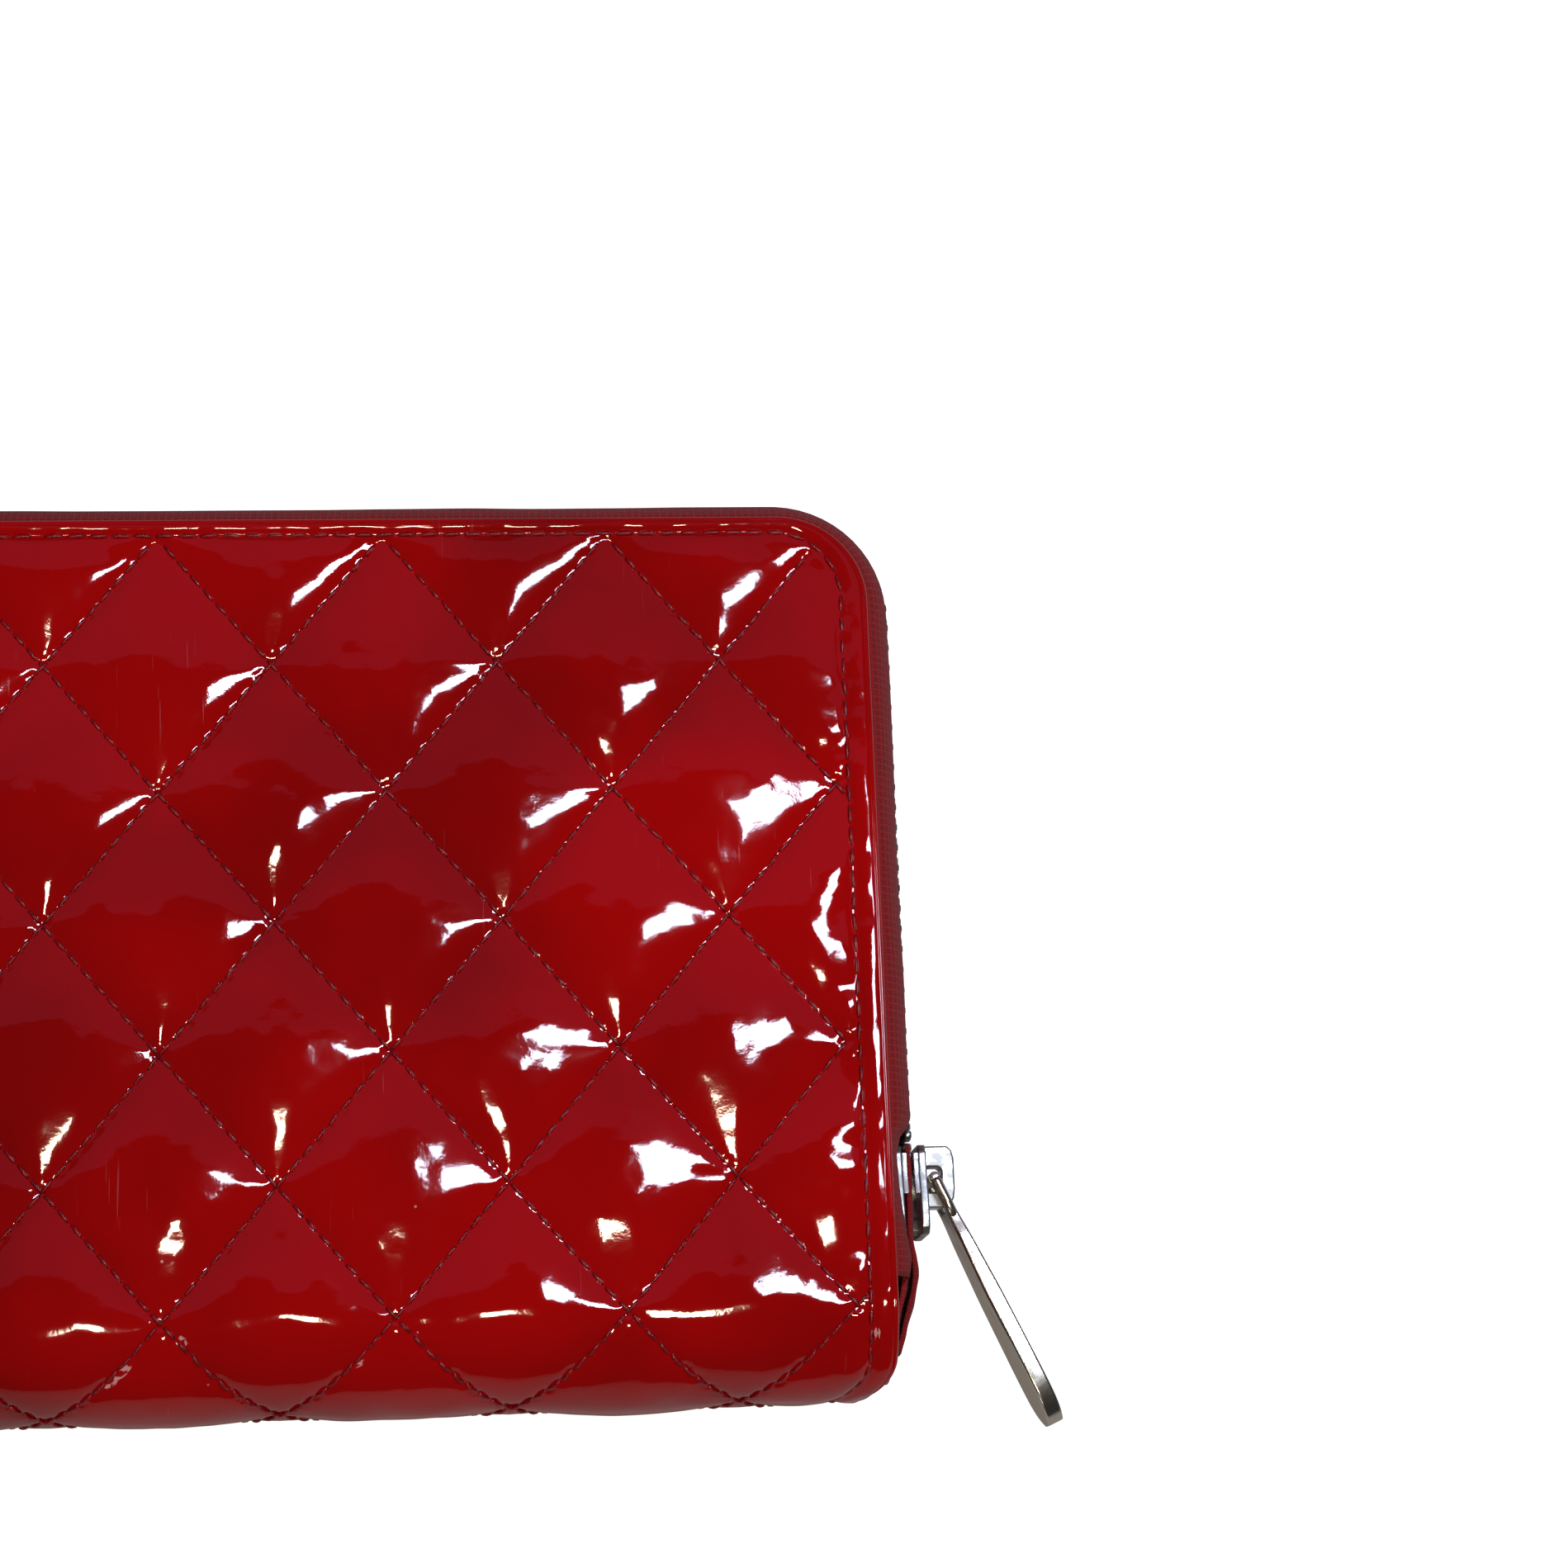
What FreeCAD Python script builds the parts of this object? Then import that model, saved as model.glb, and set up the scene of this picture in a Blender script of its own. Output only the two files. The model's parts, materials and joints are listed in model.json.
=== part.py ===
"""Zip around wallet: a long clutch wallet of quilted patent leather with a zip round three sides.

Frame: X along the wallet (the zip closes at +X), Y from the spine (-Y) to the zip's top run (+Y),
Z up through the thickness.  The wallet lies on its back cover, and the origin is the middle of the
flat face that it rests on.  Both covers open about one axis along X, the middle of the round spine.
"""
import FreeCAD, Part
import Sketcher
import math
import os

Vector = FreeCAD.Vector

# Driving dimensions in millimetres: alias, value.
DIMENSIONS = [
    ("half_width", 97.9),       # cover, from the middle to its side edge
    ("top_y", 53.0),            # cover's top edge
    ("hinge_depth", 40.5),      # spine axis below the middle
    ("thickness", 25.0),        # whole closed wallet
    ("corner_radius", 10.7),    # cover's two corners at the top
    ("skin", 1.2),              # outer leather
    ("rim", 1.0),               # turned edge of the outer leather
    ("foam", 1.4),              # quilting foam
    ("board", 0.6),             # stiffener board
    ("lining", 0.6),            # lining leather
    ("tape", 0.6),              # main zip tape
    ("tape_reach", 3.5),        # outside of the tape beyond the cover's edge
    ("tape_hold", 6.0),         # width of tape that is sewn under the cover's edge
    ("tape_edge", 9.9),         # height where the tape ends and its teeth begin
    ("tooth_reach", 3.4),       # tooth, from the tape to the tip of its head
    ("tooth_depth", 1.5),       # tooth, square to the tape
    ("tooth_length", 1.1),      # tooth, along the zip
    ("tooth_pitch", 2.5),
    ("panel_half", 88.0),       # pocket panels, half width
    ("panel_bottom", 34.0),     # pocket panels, below the middle
    ("slip", 0.5),              # slip pocket panel
    ("slip_top", 46.0),
    ("card", 0.45),             # card panel
    ("card_top", 40.0),         # top edge of the highest card panel
    ("card_step", 11.0),        # each next card panel is lower by this
    ("coin_half", 84.0),        # coin pocket, half width
    ("coin_bottom", 36.0),      # coin pocket, below the middle
    ("coin_top", 33.0),
    ("coin_outer", 3.2),        # coin pocket, half of its thickness
    ("coin_wall", 0.6),
    ("coin_lining", 0.3),
    ("coin_strip", 0.8),        # strip that closes the coin pocket's bottom and sides
    ("coin_tape", 0.6),
    ("coin_tape_inner", 1.3),   # half of the gap between the coin zip's tapes
    ("coin_zip_half", 76.0),
    ("gusset_low", 6.4),        # folded gusset's lower leaf
    ("gusset_high", 8.9),       # folded gusset's upper leaf
    ("gusset_leaf", 0.5),
    ("gusset_outer", 93.0),
    ("gusset_inner", 79.0),     # the fold, towards the middle
    ("gusset_bottom", 34.0),
    ("gusset_top", 44.0),
    ("slider_y", 27.8),         # main slider's middle, below the wallet's middle
    ("slider_length", 10.8),
    ("slider_width", 8.5),
    ("slider_gap", 1.9),        # between the slider's two plates
    ("slider_plate", 1.0),
    ("slot", 1.1),              # side slot that the tape runs through
    ("crown_low", 2.0),         # crown, from the slider's middle towards its wide end
    ("crown_high", 5.4),        # crown, from the slider's middle towards its narrow end
    ("crown_rise", 3.6),        # crown above the outer plate
    ("crown_wall", 1.6),
    ("crown_width", 2.6),
    ("window_low", 0.1),
    ("window_high", 2.9),
    ("pivot_y", 1.4),           # puller's axis from the slider's middle
    ("pivot_rise", 1.05),       # puller's axis above the outer plate
    ("puller_pin", 0.8),        # radius of the puller's cross bar
    ("puller_length", 32.0),
    ("puller_width", 7.6),
    ("puller_neck", 6.4),
    ("puller_thickness", 2.0),
    ("eye", 5.0),               # puller's eye, from the cross bar's middle to the blade
    ("arm", 1.3),               # each arm beside the eye
    ("coin_slider_x", 68.0),    # coin slider's middle, left of the wallet's middle
    ("small_length", 9.0),      # coin slider
    ("small_width", 4.2),
    ("small_gap", 1.7),
    ("small_plate", 0.8),
    ("small_slot", 1.0),
    ("small_low", 1.6),
    ("small_high", 4.2),
    ("small_rise", 2.7),
    ("small_wall", 1.1),
    ("small_crown", 2.0),
    ("small_window_low", 0.0),
    ("small_window_high", 2.4),
    ("small_pivot_y", 1.2),
    ("small_pivot_rise", 0.8),
    ("small_pin", 0.6),
    ("small_puller", 17.0),
    ("small_puller_width", 5.0),
    ("small_puller_neck", 4.4),
    ("small_puller_thickness", 1.4),
    ("small_eye", 3.7),
    ("small_arm", 0.85),
]

CARD_PANELS = 4
PULLER_ANGLE = 24.0        # the puller lies this far out from the wallet's side
COIN_PITCH = 1.8           # coin zip
COIN_TOOTH = (0.75, 1.2, 1.7)
FRONT_TAPE_END = -21.0     # the front tape stops above the slider's rest place
STRETCH_TOP = -22.3        # its last stretch, which stays with the slider, starts here
BACK_TAPE_END = -33.4
LEFT_TAPE_END = -31.5
TAIL_BOTTOM = -47.0
OPEN_BELOW = 4.0           # a cut that has to leave the bottom edge open runs this far past it

doc = FreeCAD.newDocument("zip_around_wallet")
sheet = doc.addObject("Spreadsheet::Sheet", "dims")
for row, (alias, number) in enumerate(DIMENSIONS, start=1):
    sheet.set(f"A{row}", alias)
    sheet.set(f"B{row}", str(number))
    sheet.setAlias(f"B{row}", alias)
doc.recompute()

SIZE = dict(DIMENSIONS)
HINGE_Y = -SIZE["hinge_depth"]
MIDDLE_Z = SIZE["thickness"] / 2
CHAIN_OFFSET = SIZE["tape_reach"] - SIZE["tape"] / 2
CHAIN_X = SIZE["half_width"] + CHAIN_OFFSET
INNER = "dims.skin + dims.foam + dims.board"     # height of the cover's inner side
subparts = []


def keep(part, label):
    """Name a finished sub-part and list it for export."""
    part.Label = label
    subparts.append(part)
    return part


def turn_to_front(part):
    """Turn a back cover's piece half round the long middle line, which makes it the front's."""
    part.Placement = FreeCAD.Placement(Vector(0, 0, SIZE["thickness"]),
                                       FreeCAD.Rotation(Vector(0, 1, 0), 180))
    part.setExpression("Placement.Base.z", "dims.thickness")
    return part


# ---------------------------------------------------------------- shared builders

def box(name, x, y, z):
    """A Part::Box between pairs of sheet expressions along X, Y and Z."""
    part = doc.addObject("Part::Box", name)
    for size, place, (low, high) in (("Length", "x", x), ("Width", "y", y), ("Height", "z", z)):
        part.setExpression(size, f"({high}) - ({low})")
        part.setExpression("Placement.Base." + place, low)
    return part


def fuse(name, parts):
    """Join several solids that overlap."""
    joined = doc.addObject("Part::MultiFuse", name)
    joined.Shapes = parts
    return joined


def cut(name, base, tool):
    """Take one solid from another."""
    result = doc.addObject("Part::Cut", name)
    result.Base = base
    result.Tool = tool
    return result


def origin_plane(body, role):
    """A body's own origin plane, found by its role."""
    return next(item for item in body.Origin.OriginFeatures if item.Role == role)


def cover_sketch(body, name, offset, bottom, level):
    """A cover's outline, moved out by offset: square at the spine, two round corners at the top."""
    sketch = body.newObject("Sketcher::SketchObject", name)
    sketch.AttachmentSupport = [(origin_plane(body, "XY_Plane"), "")]
    sketch.MapMode = "FlatFace"
    sketch.setExpression("AttachmentOffset.Base.z", level)
    wide, low, high, radius = 100.0, 40.0, 50.0, 10.0
    up = Vector(0, 0, 1)
    right_arc = Part.Circle(Vector(wide - radius, high - radius, 0), up, radius)
    left_arc = Part.Circle(Vector(radius - wide, high - radius, 0), up, radius)
    sketch.addGeometry([
        Part.LineSegment(Vector(-wide, -low, 0), Vector(wide, -low, 0)),
        Part.LineSegment(Vector(wide, -low, 0), Vector(wide, high - radius, 0)),
        Part.ArcOfCircle(right_arc, 0, math.pi / 2),
        Part.LineSegment(Vector(wide - radius, high, 0), Vector(radius - wide, high, 0)),
        Part.ArcOfCircle(left_arc, math.pi / 2, math.pi),
        Part.LineSegment(Vector(-wide, high - radius, 0), Vector(-wide, -low, 0)),
    ], False)
    bottom_line, right_line, right_round, top_line, left_round, left_line = range(6)
    sketch.addConstraint([
        Sketcher.Constraint("Coincident", bottom_line, 2, right_line, 1),
        Sketcher.Constraint("Tangent", right_line, 2, right_round, 1),
        Sketcher.Constraint("Tangent", right_round, 2, top_line, 1),
        Sketcher.Constraint("Tangent", top_line, 2, left_round, 1),
        Sketcher.Constraint("Tangent", left_round, 2, left_line, 1),
        Sketcher.Constraint("Coincident", left_line, 2, bottom_line, 1),
        Sketcher.Constraint("Horizontal", bottom_line),
        Sketcher.Constraint("Horizontal", top_line),
        Sketcher.Constraint("Vertical", right_line),
        Sketcher.Constraint("Vertical", left_line),
        Sketcher.Constraint("Equal", right_round, left_round),
    ])
    driven = [
        (Sketcher.Constraint("DistanceX", -1, 1, right_line, 1, wide), f"dims.half_width + {offset}"),
        (Sketcher.Constraint("DistanceX", left_line, 2, -1, 1, wide), f"dims.half_width + {offset}"),
        (Sketcher.Constraint("DistanceY", bottom_line, 1, -1, 1, low), bottom),
        (Sketcher.Constraint("DistanceY", -1, 1, top_line, 1, high), f"dims.top_y + {offset}"),
        (Sketcher.Constraint("Radius", right_round, radius), f"dims.corner_radius + {offset}"),
    ]
    for constraint, expression in driven:
        index = sketch.addConstraint(constraint)
        sketch.setExpression(f"Constraints[{index}]", expression)
    return sketch


def pad_cover(body, offset, level, height, bottom="dims.hinge_depth"):
    """Pad a cover outline upwards from a level."""
    pad = body.newObject("PartDesign::Pad", "Pad")
    pad.Profile = cover_sketch(body, "Outline", offset, bottom, level)
    pad.setExpression("Length", height)
    return pad


def pocket_cover(body, offset, level, depth, bottom):
    """Cut a cover outline downwards from a level."""
    pocket = body.newObject("PartDesign::Pocket", "Pocket")
    pocket.Profile = cover_sketch(body, "Inside", offset, bottom, level)
    pocket.setExpression("Length", depth)
    return pocket


def cover_plate(label, offset, level, height, bottom="dims.hinge_depth"):
    """A flat layer of a cover."""
    body = doc.addObject("PartDesign::Body", label + "_body")
    pad_cover(body, offset, level, height, bottom)
    return keep(body, label)


# ---------------------------------------------------------------- covers

def outer_panel(label):
    """Outer leather of one cover: a flat skin whose edge is turned in round three sides."""
    body = doc.addObject("PartDesign::Body", label + "_body")
    pad_cover(body, "0", "0", INNER)
    pocket_cover(body, "-dims.rim", INNER, "dims.foam + dims.board",
                 f"dims.hinge_depth + {OPEN_BELOW}")
    return keep(body, label)


def main_tape(label, right_end, left_end):
    """One half of the zip tape: a strip under the cover's edge and a wall round three sides."""
    body = doc.addObject("PartDesign::Body", label + "_body")
    below = f"dims.hinge_depth + {OPEN_BELOW}"
    pad_cover(body, "dims.tape_reach", INNER, f"dims.tape_edge - ({INNER})")
    pocket_cover(body, "dims.tape_reach - dims.tape", "dims.tape_edge",
                 f"dims.tape_edge - ({INNER}) - dims.tape", below)
    pocket_cover(body, "-dims.tape_hold", "dims.tape_edge", f"dims.tape_edge - ({INNER})", below)
    reach = "dims.half_width + dims.tape_reach + 1"
    tall = ("0", "dims.thickness")
    low = f"-dims.hinge_depth - {OPEN_BELOW}"
    right = box(label + "_right_end", ("0", reach), (low, str(right_end)), tall)
    left = box(label + "_left_end", (f"-({reach})", "0"), (low, str(left_end)), tall)
    return keep(cut(label + "_cut", body, fuse(label + "_ends", [right, left])), label)


def side_heights(side, low, high):
    """A layer's heights, counted from the cover's outer face, as heights of the wallet."""
    if side == "back":
        return low, high
    return f"dims.thickness - ({high})", f"dims.thickness - ({low})"


def pocket_panels(side):
    """Slip pocket and the stepped card panels, stacked on a cover's lining."""
    wide = ("-dims.panel_half", "dims.panel_half")
    base = f"{INNER} + dims.lining"
    slip = box(side + "_slip", wide, ("-dims.panel_bottom", "dims.slip_top"),
               side_heights(side, base, f"{base} + dims.slip"))
    keep(slip, side + "_slip_pocket")
    for index in range(CARD_PANELS):
        low = f"{base} + dims.slip + {index} * dims.card"
        top = f"dims.card_top - {index} * dims.card_step"
        panel = box(f"{side}_card_{index + 1}", wide, ("-dims.panel_bottom", top),
                    side_heights(side, low, f"{low} + dims.card"))
        keep(panel, f"{side}_card_panel_{index + 1}")


def cover_layers(side, right_end, left_end):
    """The layers of one cover, all built as the back cover's."""
    return [
        outer_panel(side + "_outer_panel"),
        cover_plate(side + "_foam", "-dims.rim", "dims.skin", "dims.foam"),
        cover_plate(side + "_stiffener", "-dims.rim", "dims.skin + dims.foam", "dims.board"),
        cover_plate(side + "_lining", "-dims.tape_hold", INNER, "dims.lining"),
        main_tape(side + "_zip_tape", right_end, left_end),
    ]


# ---------------------------------------------------------------- spine and gussets

def spine_layer(label, outer, inner, first_angle):
    """A quarter of a tube round the hinge axis: one layer of one half of the spine."""
    body = doc.addObject("PartDesign::Body", label + "_body")
    sketch = body.newObject("Sketcher::SketchObject", "Section")
    sketch.AttachmentSupport = [(origin_plane(body, "YZ_Plane"), "")]
    sketch.MapMode = "FlatFace"
    sketch.setExpression("AttachmentOffset.Base.x", "-dims.hinge_depth")
    sketch.setExpression("AttachmentOffset.Base.y", "dims.thickness / 2")
    sketch.setExpression("AttachmentOffset.Base.z", "-dims.half_width")
    first, last = math.radians(first_angle), math.radians(first_angle + 90)
    big, small = 12.0, 10.0
    ends = [Vector(math.cos(angle), math.sin(angle), 0) for angle in (first, last)]
    up = Vector(0, 0, 1)
    sketch.addGeometry([
        Part.ArcOfCircle(Part.Circle(Vector(), up, big), first, last),
        Part.LineSegment(ends[1] * big, ends[1] * small),
        Part.ArcOfCircle(Part.Circle(Vector(), up, small), first, last),
        Part.LineSegment(ends[0] * small, ends[0] * big),
    ], False)
    outer_arc, last_line, inner_arc, first_line = range(4)
    level, upright = -1, -2
    first_axis, last_axis = (level, upright) if first_angle == 180 else (upright, level)
    sketch.addConstraint([
        Sketcher.Constraint("Coincident", outer_arc, 3, -1, 1),
        Sketcher.Constraint("Coincident", inner_arc, 3, -1, 1),
        Sketcher.Constraint("Coincident", outer_arc, 2, last_line, 1),
        Sketcher.Constraint("Coincident", last_line, 2, inner_arc, 2),
        Sketcher.Constraint("Coincident", inner_arc, 1, first_line, 1),
        Sketcher.Constraint("Coincident", first_line, 2, outer_arc, 1),
        Sketcher.Constraint("PointOnObject", outer_arc, 1, first_axis),
        Sketcher.Constraint("PointOnObject", inner_arc, 1, first_axis),
        Sketcher.Constraint("PointOnObject", outer_arc, 2, last_axis),
        Sketcher.Constraint("PointOnObject", inner_arc, 2, last_axis),
    ])
    for arc, start, size in ((outer_arc, big, outer), (inner_arc, small, inner)):
        index = sketch.addConstraint(Sketcher.Constraint("Radius", arc, start))
        sketch.setExpression(f"Constraints[{index}]", size)
    pad = body.newObject("PartDesign::Pad", "Pad")
    pad.Profile = sketch
    pad.setExpression("Length", "2 * dims.half_width")
    return keep(body, label)


def spine():
    """Leather, foam and lining of the round spine, each in a back and a front half."""
    leather = "dims.thickness / 2"
    foam = "dims.thickness / 2 - dims.skin"
    lining = "dims.thickness / 2 - dims.skin - dims.foam"
    for side, first_angle in (("back", 180), ("front", 90)):
        spine_layer(side + "_spine_leather", leather, foam, first_angle)
        spine_layer(side + "_spine_foam", foam, lining, first_angle)
        spine_layer(side + "_spine_lining", lining, f"{lining} - dims.lining", first_angle)


def gusset(label, hand):
    """A gusset folded flat: two leaves joined by a fold that points to the wallet's middle."""
    far, near = ("dims.gusset_outer", "dims.gusset_inner")
    inside = "dims.gusset_inner + dims.gusset_leaf"
    past = "dims.gusset_outer + 1"
    if hand == "left":
        whole = (f"-{far}", f"-{near}")
        hollow = (f"-({past})", f"-({inside})")
    else:
        whole = (near, far)
        hollow = (inside, past)
    run = ("-dims.gusset_bottom", "dims.gusset_top")
    outside = box(label + "_whole", whole, run, ("dims.gusset_low", "dims.gusset_high"))
    space = box(label + "_space", hollow, ("-dims.gusset_bottom - 1", "dims.gusset_top + 1"),
                ("dims.gusset_low + dims.gusset_leaf", "dims.gusset_high - dims.gusset_leaf"))
    return keep(cut(label + "_fold", outside, space), label)


# ---------------------------------------------------------------- zip teeth

def side_point(distance):
    """A point and heading on the chain's path, from the right side up, over and down the left.

    The distance counts from the height of the wallet's middle on the right side.
    """
    radius = SIZE["corner_radius"] + CHAIN_OFFSET
    straight = SIZE["top_y"] - SIZE["corner_radius"]
    flat = 2 * (SIZE["half_width"] - SIZE["corner_radius"])
    quarter = radius * math.pi / 2
    corner_x = SIZE["half_width"] - SIZE["corner_radius"]
    if distance <= straight:
        return CHAIN_X, distance, 90.0
    distance -= straight
    if distance <= quarter:
        angle = distance / radius
        return corner_x + radius * math.cos(angle), straight + radius * math.sin(angle), \
            90.0 + math.degrees(angle)
    distance -= quarter
    if distance <= flat:
        return corner_x - distance, straight + radius, 180.0
    distance -= flat
    if distance <= quarter:
        angle = math.pi / 2 + distance / radius
        return radius * math.cos(angle) - corner_x, straight + radius * math.sin(angle), \
            90.0 + math.degrees(angle)
    return -CHAIN_X, straight - (distance - quarter), 270.0


def path_length():
    """Length of the chain's path, counted as in side_point, down to the middle on the left."""
    radius = SIZE["corner_radius"] + CHAIN_OFFSET
    straight = SIZE["top_y"] - SIZE["corner_radius"]
    return 2 * straight + math.pi * radius + 2 * (SIZE["half_width"] - SIZE["corner_radius"])


def main_tooth(distance, low):
    """One tooth, a block across the tape's edge."""
    length, depth = SIZE["tooth_length"], SIZE["tooth_depth"]
    tooth = Part.makeBox(length, depth, SIZE["tooth_reach"], Vector(-length / 2, -depth / 2, low))
    place_x, place_y, heading = side_point(distance)
    tooth.Placement = FreeCAD.Placement(Vector(place_x, place_y, 0),
                                        FreeCAD.Rotation(Vector(0, 0, 1), heading))
    return tooth


def row_of_teeth(label, solids):
    """A group of separate teeth in one node."""
    row = doc.addObject("Part::Feature", label + "_row")
    row.Shape = Part.makeCompound(solids)
    row.Placement = FreeCAD.Placement()
    return keep(row, label)


def main_teeth():
    """The zip's two rows, half a pitch apart, and the short stretch that the slider rests on."""
    pitch = SIZE["tooth_pitch"]
    back_low = SIZE["tape_edge"]
    front_low = SIZE["thickness"] - SIZE["tape_edge"] - SIZE["tooth_reach"]
    closed_from = -SIZE["slider_y"] + 0.6
    row_from = FRONT_TAPE_END + 1.1
    row_to = path_length() - LEFT_TAPE_END - 1.3
    count = int((row_to - row_from - pitch) / pitch) + 1
    places = [row_from + index * pitch for index in range(count)]
    row_of_teeth("back_zip_teeth", [main_tooth(place, back_low) for place in places])
    row_of_teeth("front_zip_teeth", [main_tooth(place + pitch / 2, front_low) for place in places])
    closed = []
    for index in range(int((row_from - closed_from) / pitch)):
        place = row_from - (index + 1) * pitch
        closed.append(main_tooth(place, back_low))
        closed.append(main_tooth(place + pitch / 2, front_low))
    row_of_teeth("zip_closed_end_teeth", closed)


def coin_teeth():
    """The coin zip's two rows along X."""
    length, depth, reach = COIN_TOOTH
    middle_y = SIZE["coin_top"] + SIZE["coin_tape"] / 2
    first = -SIZE["coin_slider_x"]
    count = int((SIZE["coin_zip_half"] - 2 - first) / COIN_PITCH)
    inner = SIZE["coin_tape_inner"]
    for label, low, shift in (("coin_back_teeth", MIDDLE_Z - inner, 0.0),
                              ("coin_front_teeth", MIDDLE_Z + inner - reach, COIN_PITCH / 2)):
        row_of_teeth(label, [
            Part.makeBox(length, depth, reach,
                         Vector(first + shift + index * COIN_PITCH, middle_y - depth / 2, low))
            for index in range(count)])


# ---------------------------------------------------------------- zip ends

def tape_tail(label, hand):
    """The zip's folded end, below the teeth: a strip that curves in towards the spine."""
    body = doc.addObject("PartDesign::Body", label + "_body")
    sketch = body.newObject("Sketcher::SketchObject", "Strip")
    sketch.AttachmentSupport = [(origin_plane(body, "XY_Plane"), "")]
    sketch.MapMode = "FlatFace"
    sketch.setExpression("AttachmentOffset.Base.z", "dims.thickness / 2 - dims.slider_width / 2")
    top = BACK_TAPE_END - 0.2
    points = [Vector(100.2, top, 0), Vector(101.6, top, 0), Vector(101.6, -42.0, 0),
              Vector(100.0, TAIL_BOTTOM, 0), Vector(98.6, TAIL_BOTTOM, 0), Vector(100.2, -41.5, 0)]
    if hand == "left":
        points = [Vector(-point.x, point.y, 0) for point in points]
    sketch.addGeometry([Part.LineSegment(point, points[(index + 1) % len(points)])
                        for index, point in enumerate(points)], False)
    pad = body.newObject("PartDesign::Pad", "Pad")
    pad.Profile = sketch
    pad.setExpression("Length", "dims.slider_width")
    return body


def zip_ends():
    """Both folded ends, the front tape's last stretch inside the slider, and the metal stops."""
    keep(tape_tail("left_zip_end", "left"), "left_zip_end")
    outside = "dims.half_width + dims.tape_reach"
    wall = box("front_tape_last_stretch", (f"{outside} - dims.tape", outside),
               (str(BACK_TAPE_END - 1.0), str(STRETCH_TOP)),
               ("dims.thickness - dims.tape_edge", "dims.thickness - dims.tape_edge + 4"))
    keep(fuse("right_end_joined", [tape_tail("right_zip_end", "right"), wall]), "right_zip_end")
    half = SIZE["tooth_depth"] / 2
    middle = f"({outside} - dims.tape / 2)"
    start = box("start_stop", (f"-{middle} - {half}", f"-{middle} + {half}"), ("-33.3", "-31.8"),
                ("dims.thickness / 2 - 2", "dims.thickness / 2 + 2"))
    keep(start, "zip_start_stop")


# ---------------------------------------------------------------- coin pocket

def coin_pocket():
    """A flat pocket between the two main compartments, closed by its own zip along the top."""
    wide = ("-dims.coin_half", "dims.coin_half")
    run = ("-dims.coin_bottom", "dims.coin_top")
    middle = "dims.thickness / 2"
    wall_in = "dims.coin_outer - dims.coin_wall"
    lining_in = "dims.coin_outer - dims.coin_wall - dims.coin_lining"
    for side, sign in (("back", "-"), ("front", "+")):
        outer_face = f"{middle} {sign} dims.coin_outer"
        wall_face = f"{middle} {sign} ({wall_in})"
        lining_face = f"{middle} {sign} ({lining_in})"
        tape_face = f"{middle} {sign} dims.coin_tape_inner"
        faces = (("wall", wide, run, outer_face, wall_face),
                 ("lining", wide, run, wall_face, lining_face),
                 ("tape", ("-dims.coin_zip_half", "dims.coin_zip_half"),
                  ("dims.coin_top", "dims.coin_top + dims.coin_tape"), outer_face, tape_face))
        for name, along, up, outer, inner in faces:
            heights = (outer, inner) if side == "back" else (inner, outer)
            keep(box(f"coin_{side}_{name}_box", along, up, heights), f"coin_{side}_{name}")
    heights = (f"{middle} - ({lining_in})", f"{middle} + ({lining_in})")
    whole = box("coin_strip_whole", wide, ("-dims.coin_bottom", "dims.coin_top - 2"), heights)
    space = box("coin_strip_space", ("-dims.coin_half + dims.coin_strip", "dims.coin_half - dims.coin_strip"),
                ("-dims.coin_bottom + dims.coin_strip", "dims.coin_top"),
                (f"{heights[0]} - 1", f"{heights[1]} + 1"))
    keep(cut("coin_strip_cut", whole, space), "coin_pocket_strip")
    ends = []
    for name, low in (("left", f"-dims.coin_slider_x - dims.small_length / 2 - 2"),
                      ("right", "dims.coin_zip_half - 1.6")):
        ends.append(box(f"coin_stop_{name}", (low, f"{low} + 1.4"),
                        ("dims.coin_top - 0.4", "dims.coin_top + dims.coin_tape + 0.4"),
                        (f"{middle} - 1.2", f"{middle} + 1.2")))
    group = doc.addObject("Part::Compound", "coin_stops_group")
    group.Links = ends
    keep(group, "coin_zip_stops")


# ---------------------------------------------------------------- sliders and pullers

def slider_shell(name, key, inner_width):
    """A slider's body: two plates, the side lips that leave the tape its slots, and the wedge.

    It is built with the chain's middle at the origin, the outer plate towards +X and the wide
    end, where the wedge parts the two rows, towards -Y.
    """
    length, width = f"dims.{key}_length", f"dims.{key}_width"
    gap, plate = f"dims.{key}_gap / 2", f"dims.{key}_plate"
    slot = "dims.slot / 2" if key == "slider" else "dims.small_slot / 2"
    run = (f"-{length} / 2", f"{length} / 2")
    across = (f"-{width} / 2", f"{width} / 2")
    pieces = [
        box(name + "_outer_plate", (gap, f"{gap} + {plate}"), run, across),
        box(name + "_inner_plate", (f"-({gap} + {plate})", f"-{gap}"), run,
            (f"-{inner_width} / 2", f"{inner_width} / 2")),
        box(name + "_wedge", (f"-({gap} + {plate} / 2)", f"{gap} + {plate} / 2"),
            (f"-{length} / 2 + 0.6", f"-{length} / 2 + 3.2"), ("-0.9", "0.9")),
    ]
    for side, low, high in (("low", "-", "+ 0.7"), ("high", "", "- 0.7")):
        edge = f"{low}{width} / 2"
        lip = sorted((edge, f"{edge} {high}"), key=len, reverse=(side == "high"))
        pieces.append(box(f"{name}_outer_lip_{side}", (slot, f"{gap} + {plate} / 2"), run, lip))
    if key == "slider":
        for side, lip in (("low", (f"-{width} / 2", f"-{width} / 2 + 0.7")),
                          ("high", (f"{width} / 2 - 0.7", f"{width} / 2"))):
            pieces.append(box(f"{name}_inner_lip_{side}", (f"-({gap} + {plate} / 2)", f"-{slot}"),
                              run, lip))
    return fuse(name + "_joined", pieces)


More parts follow.
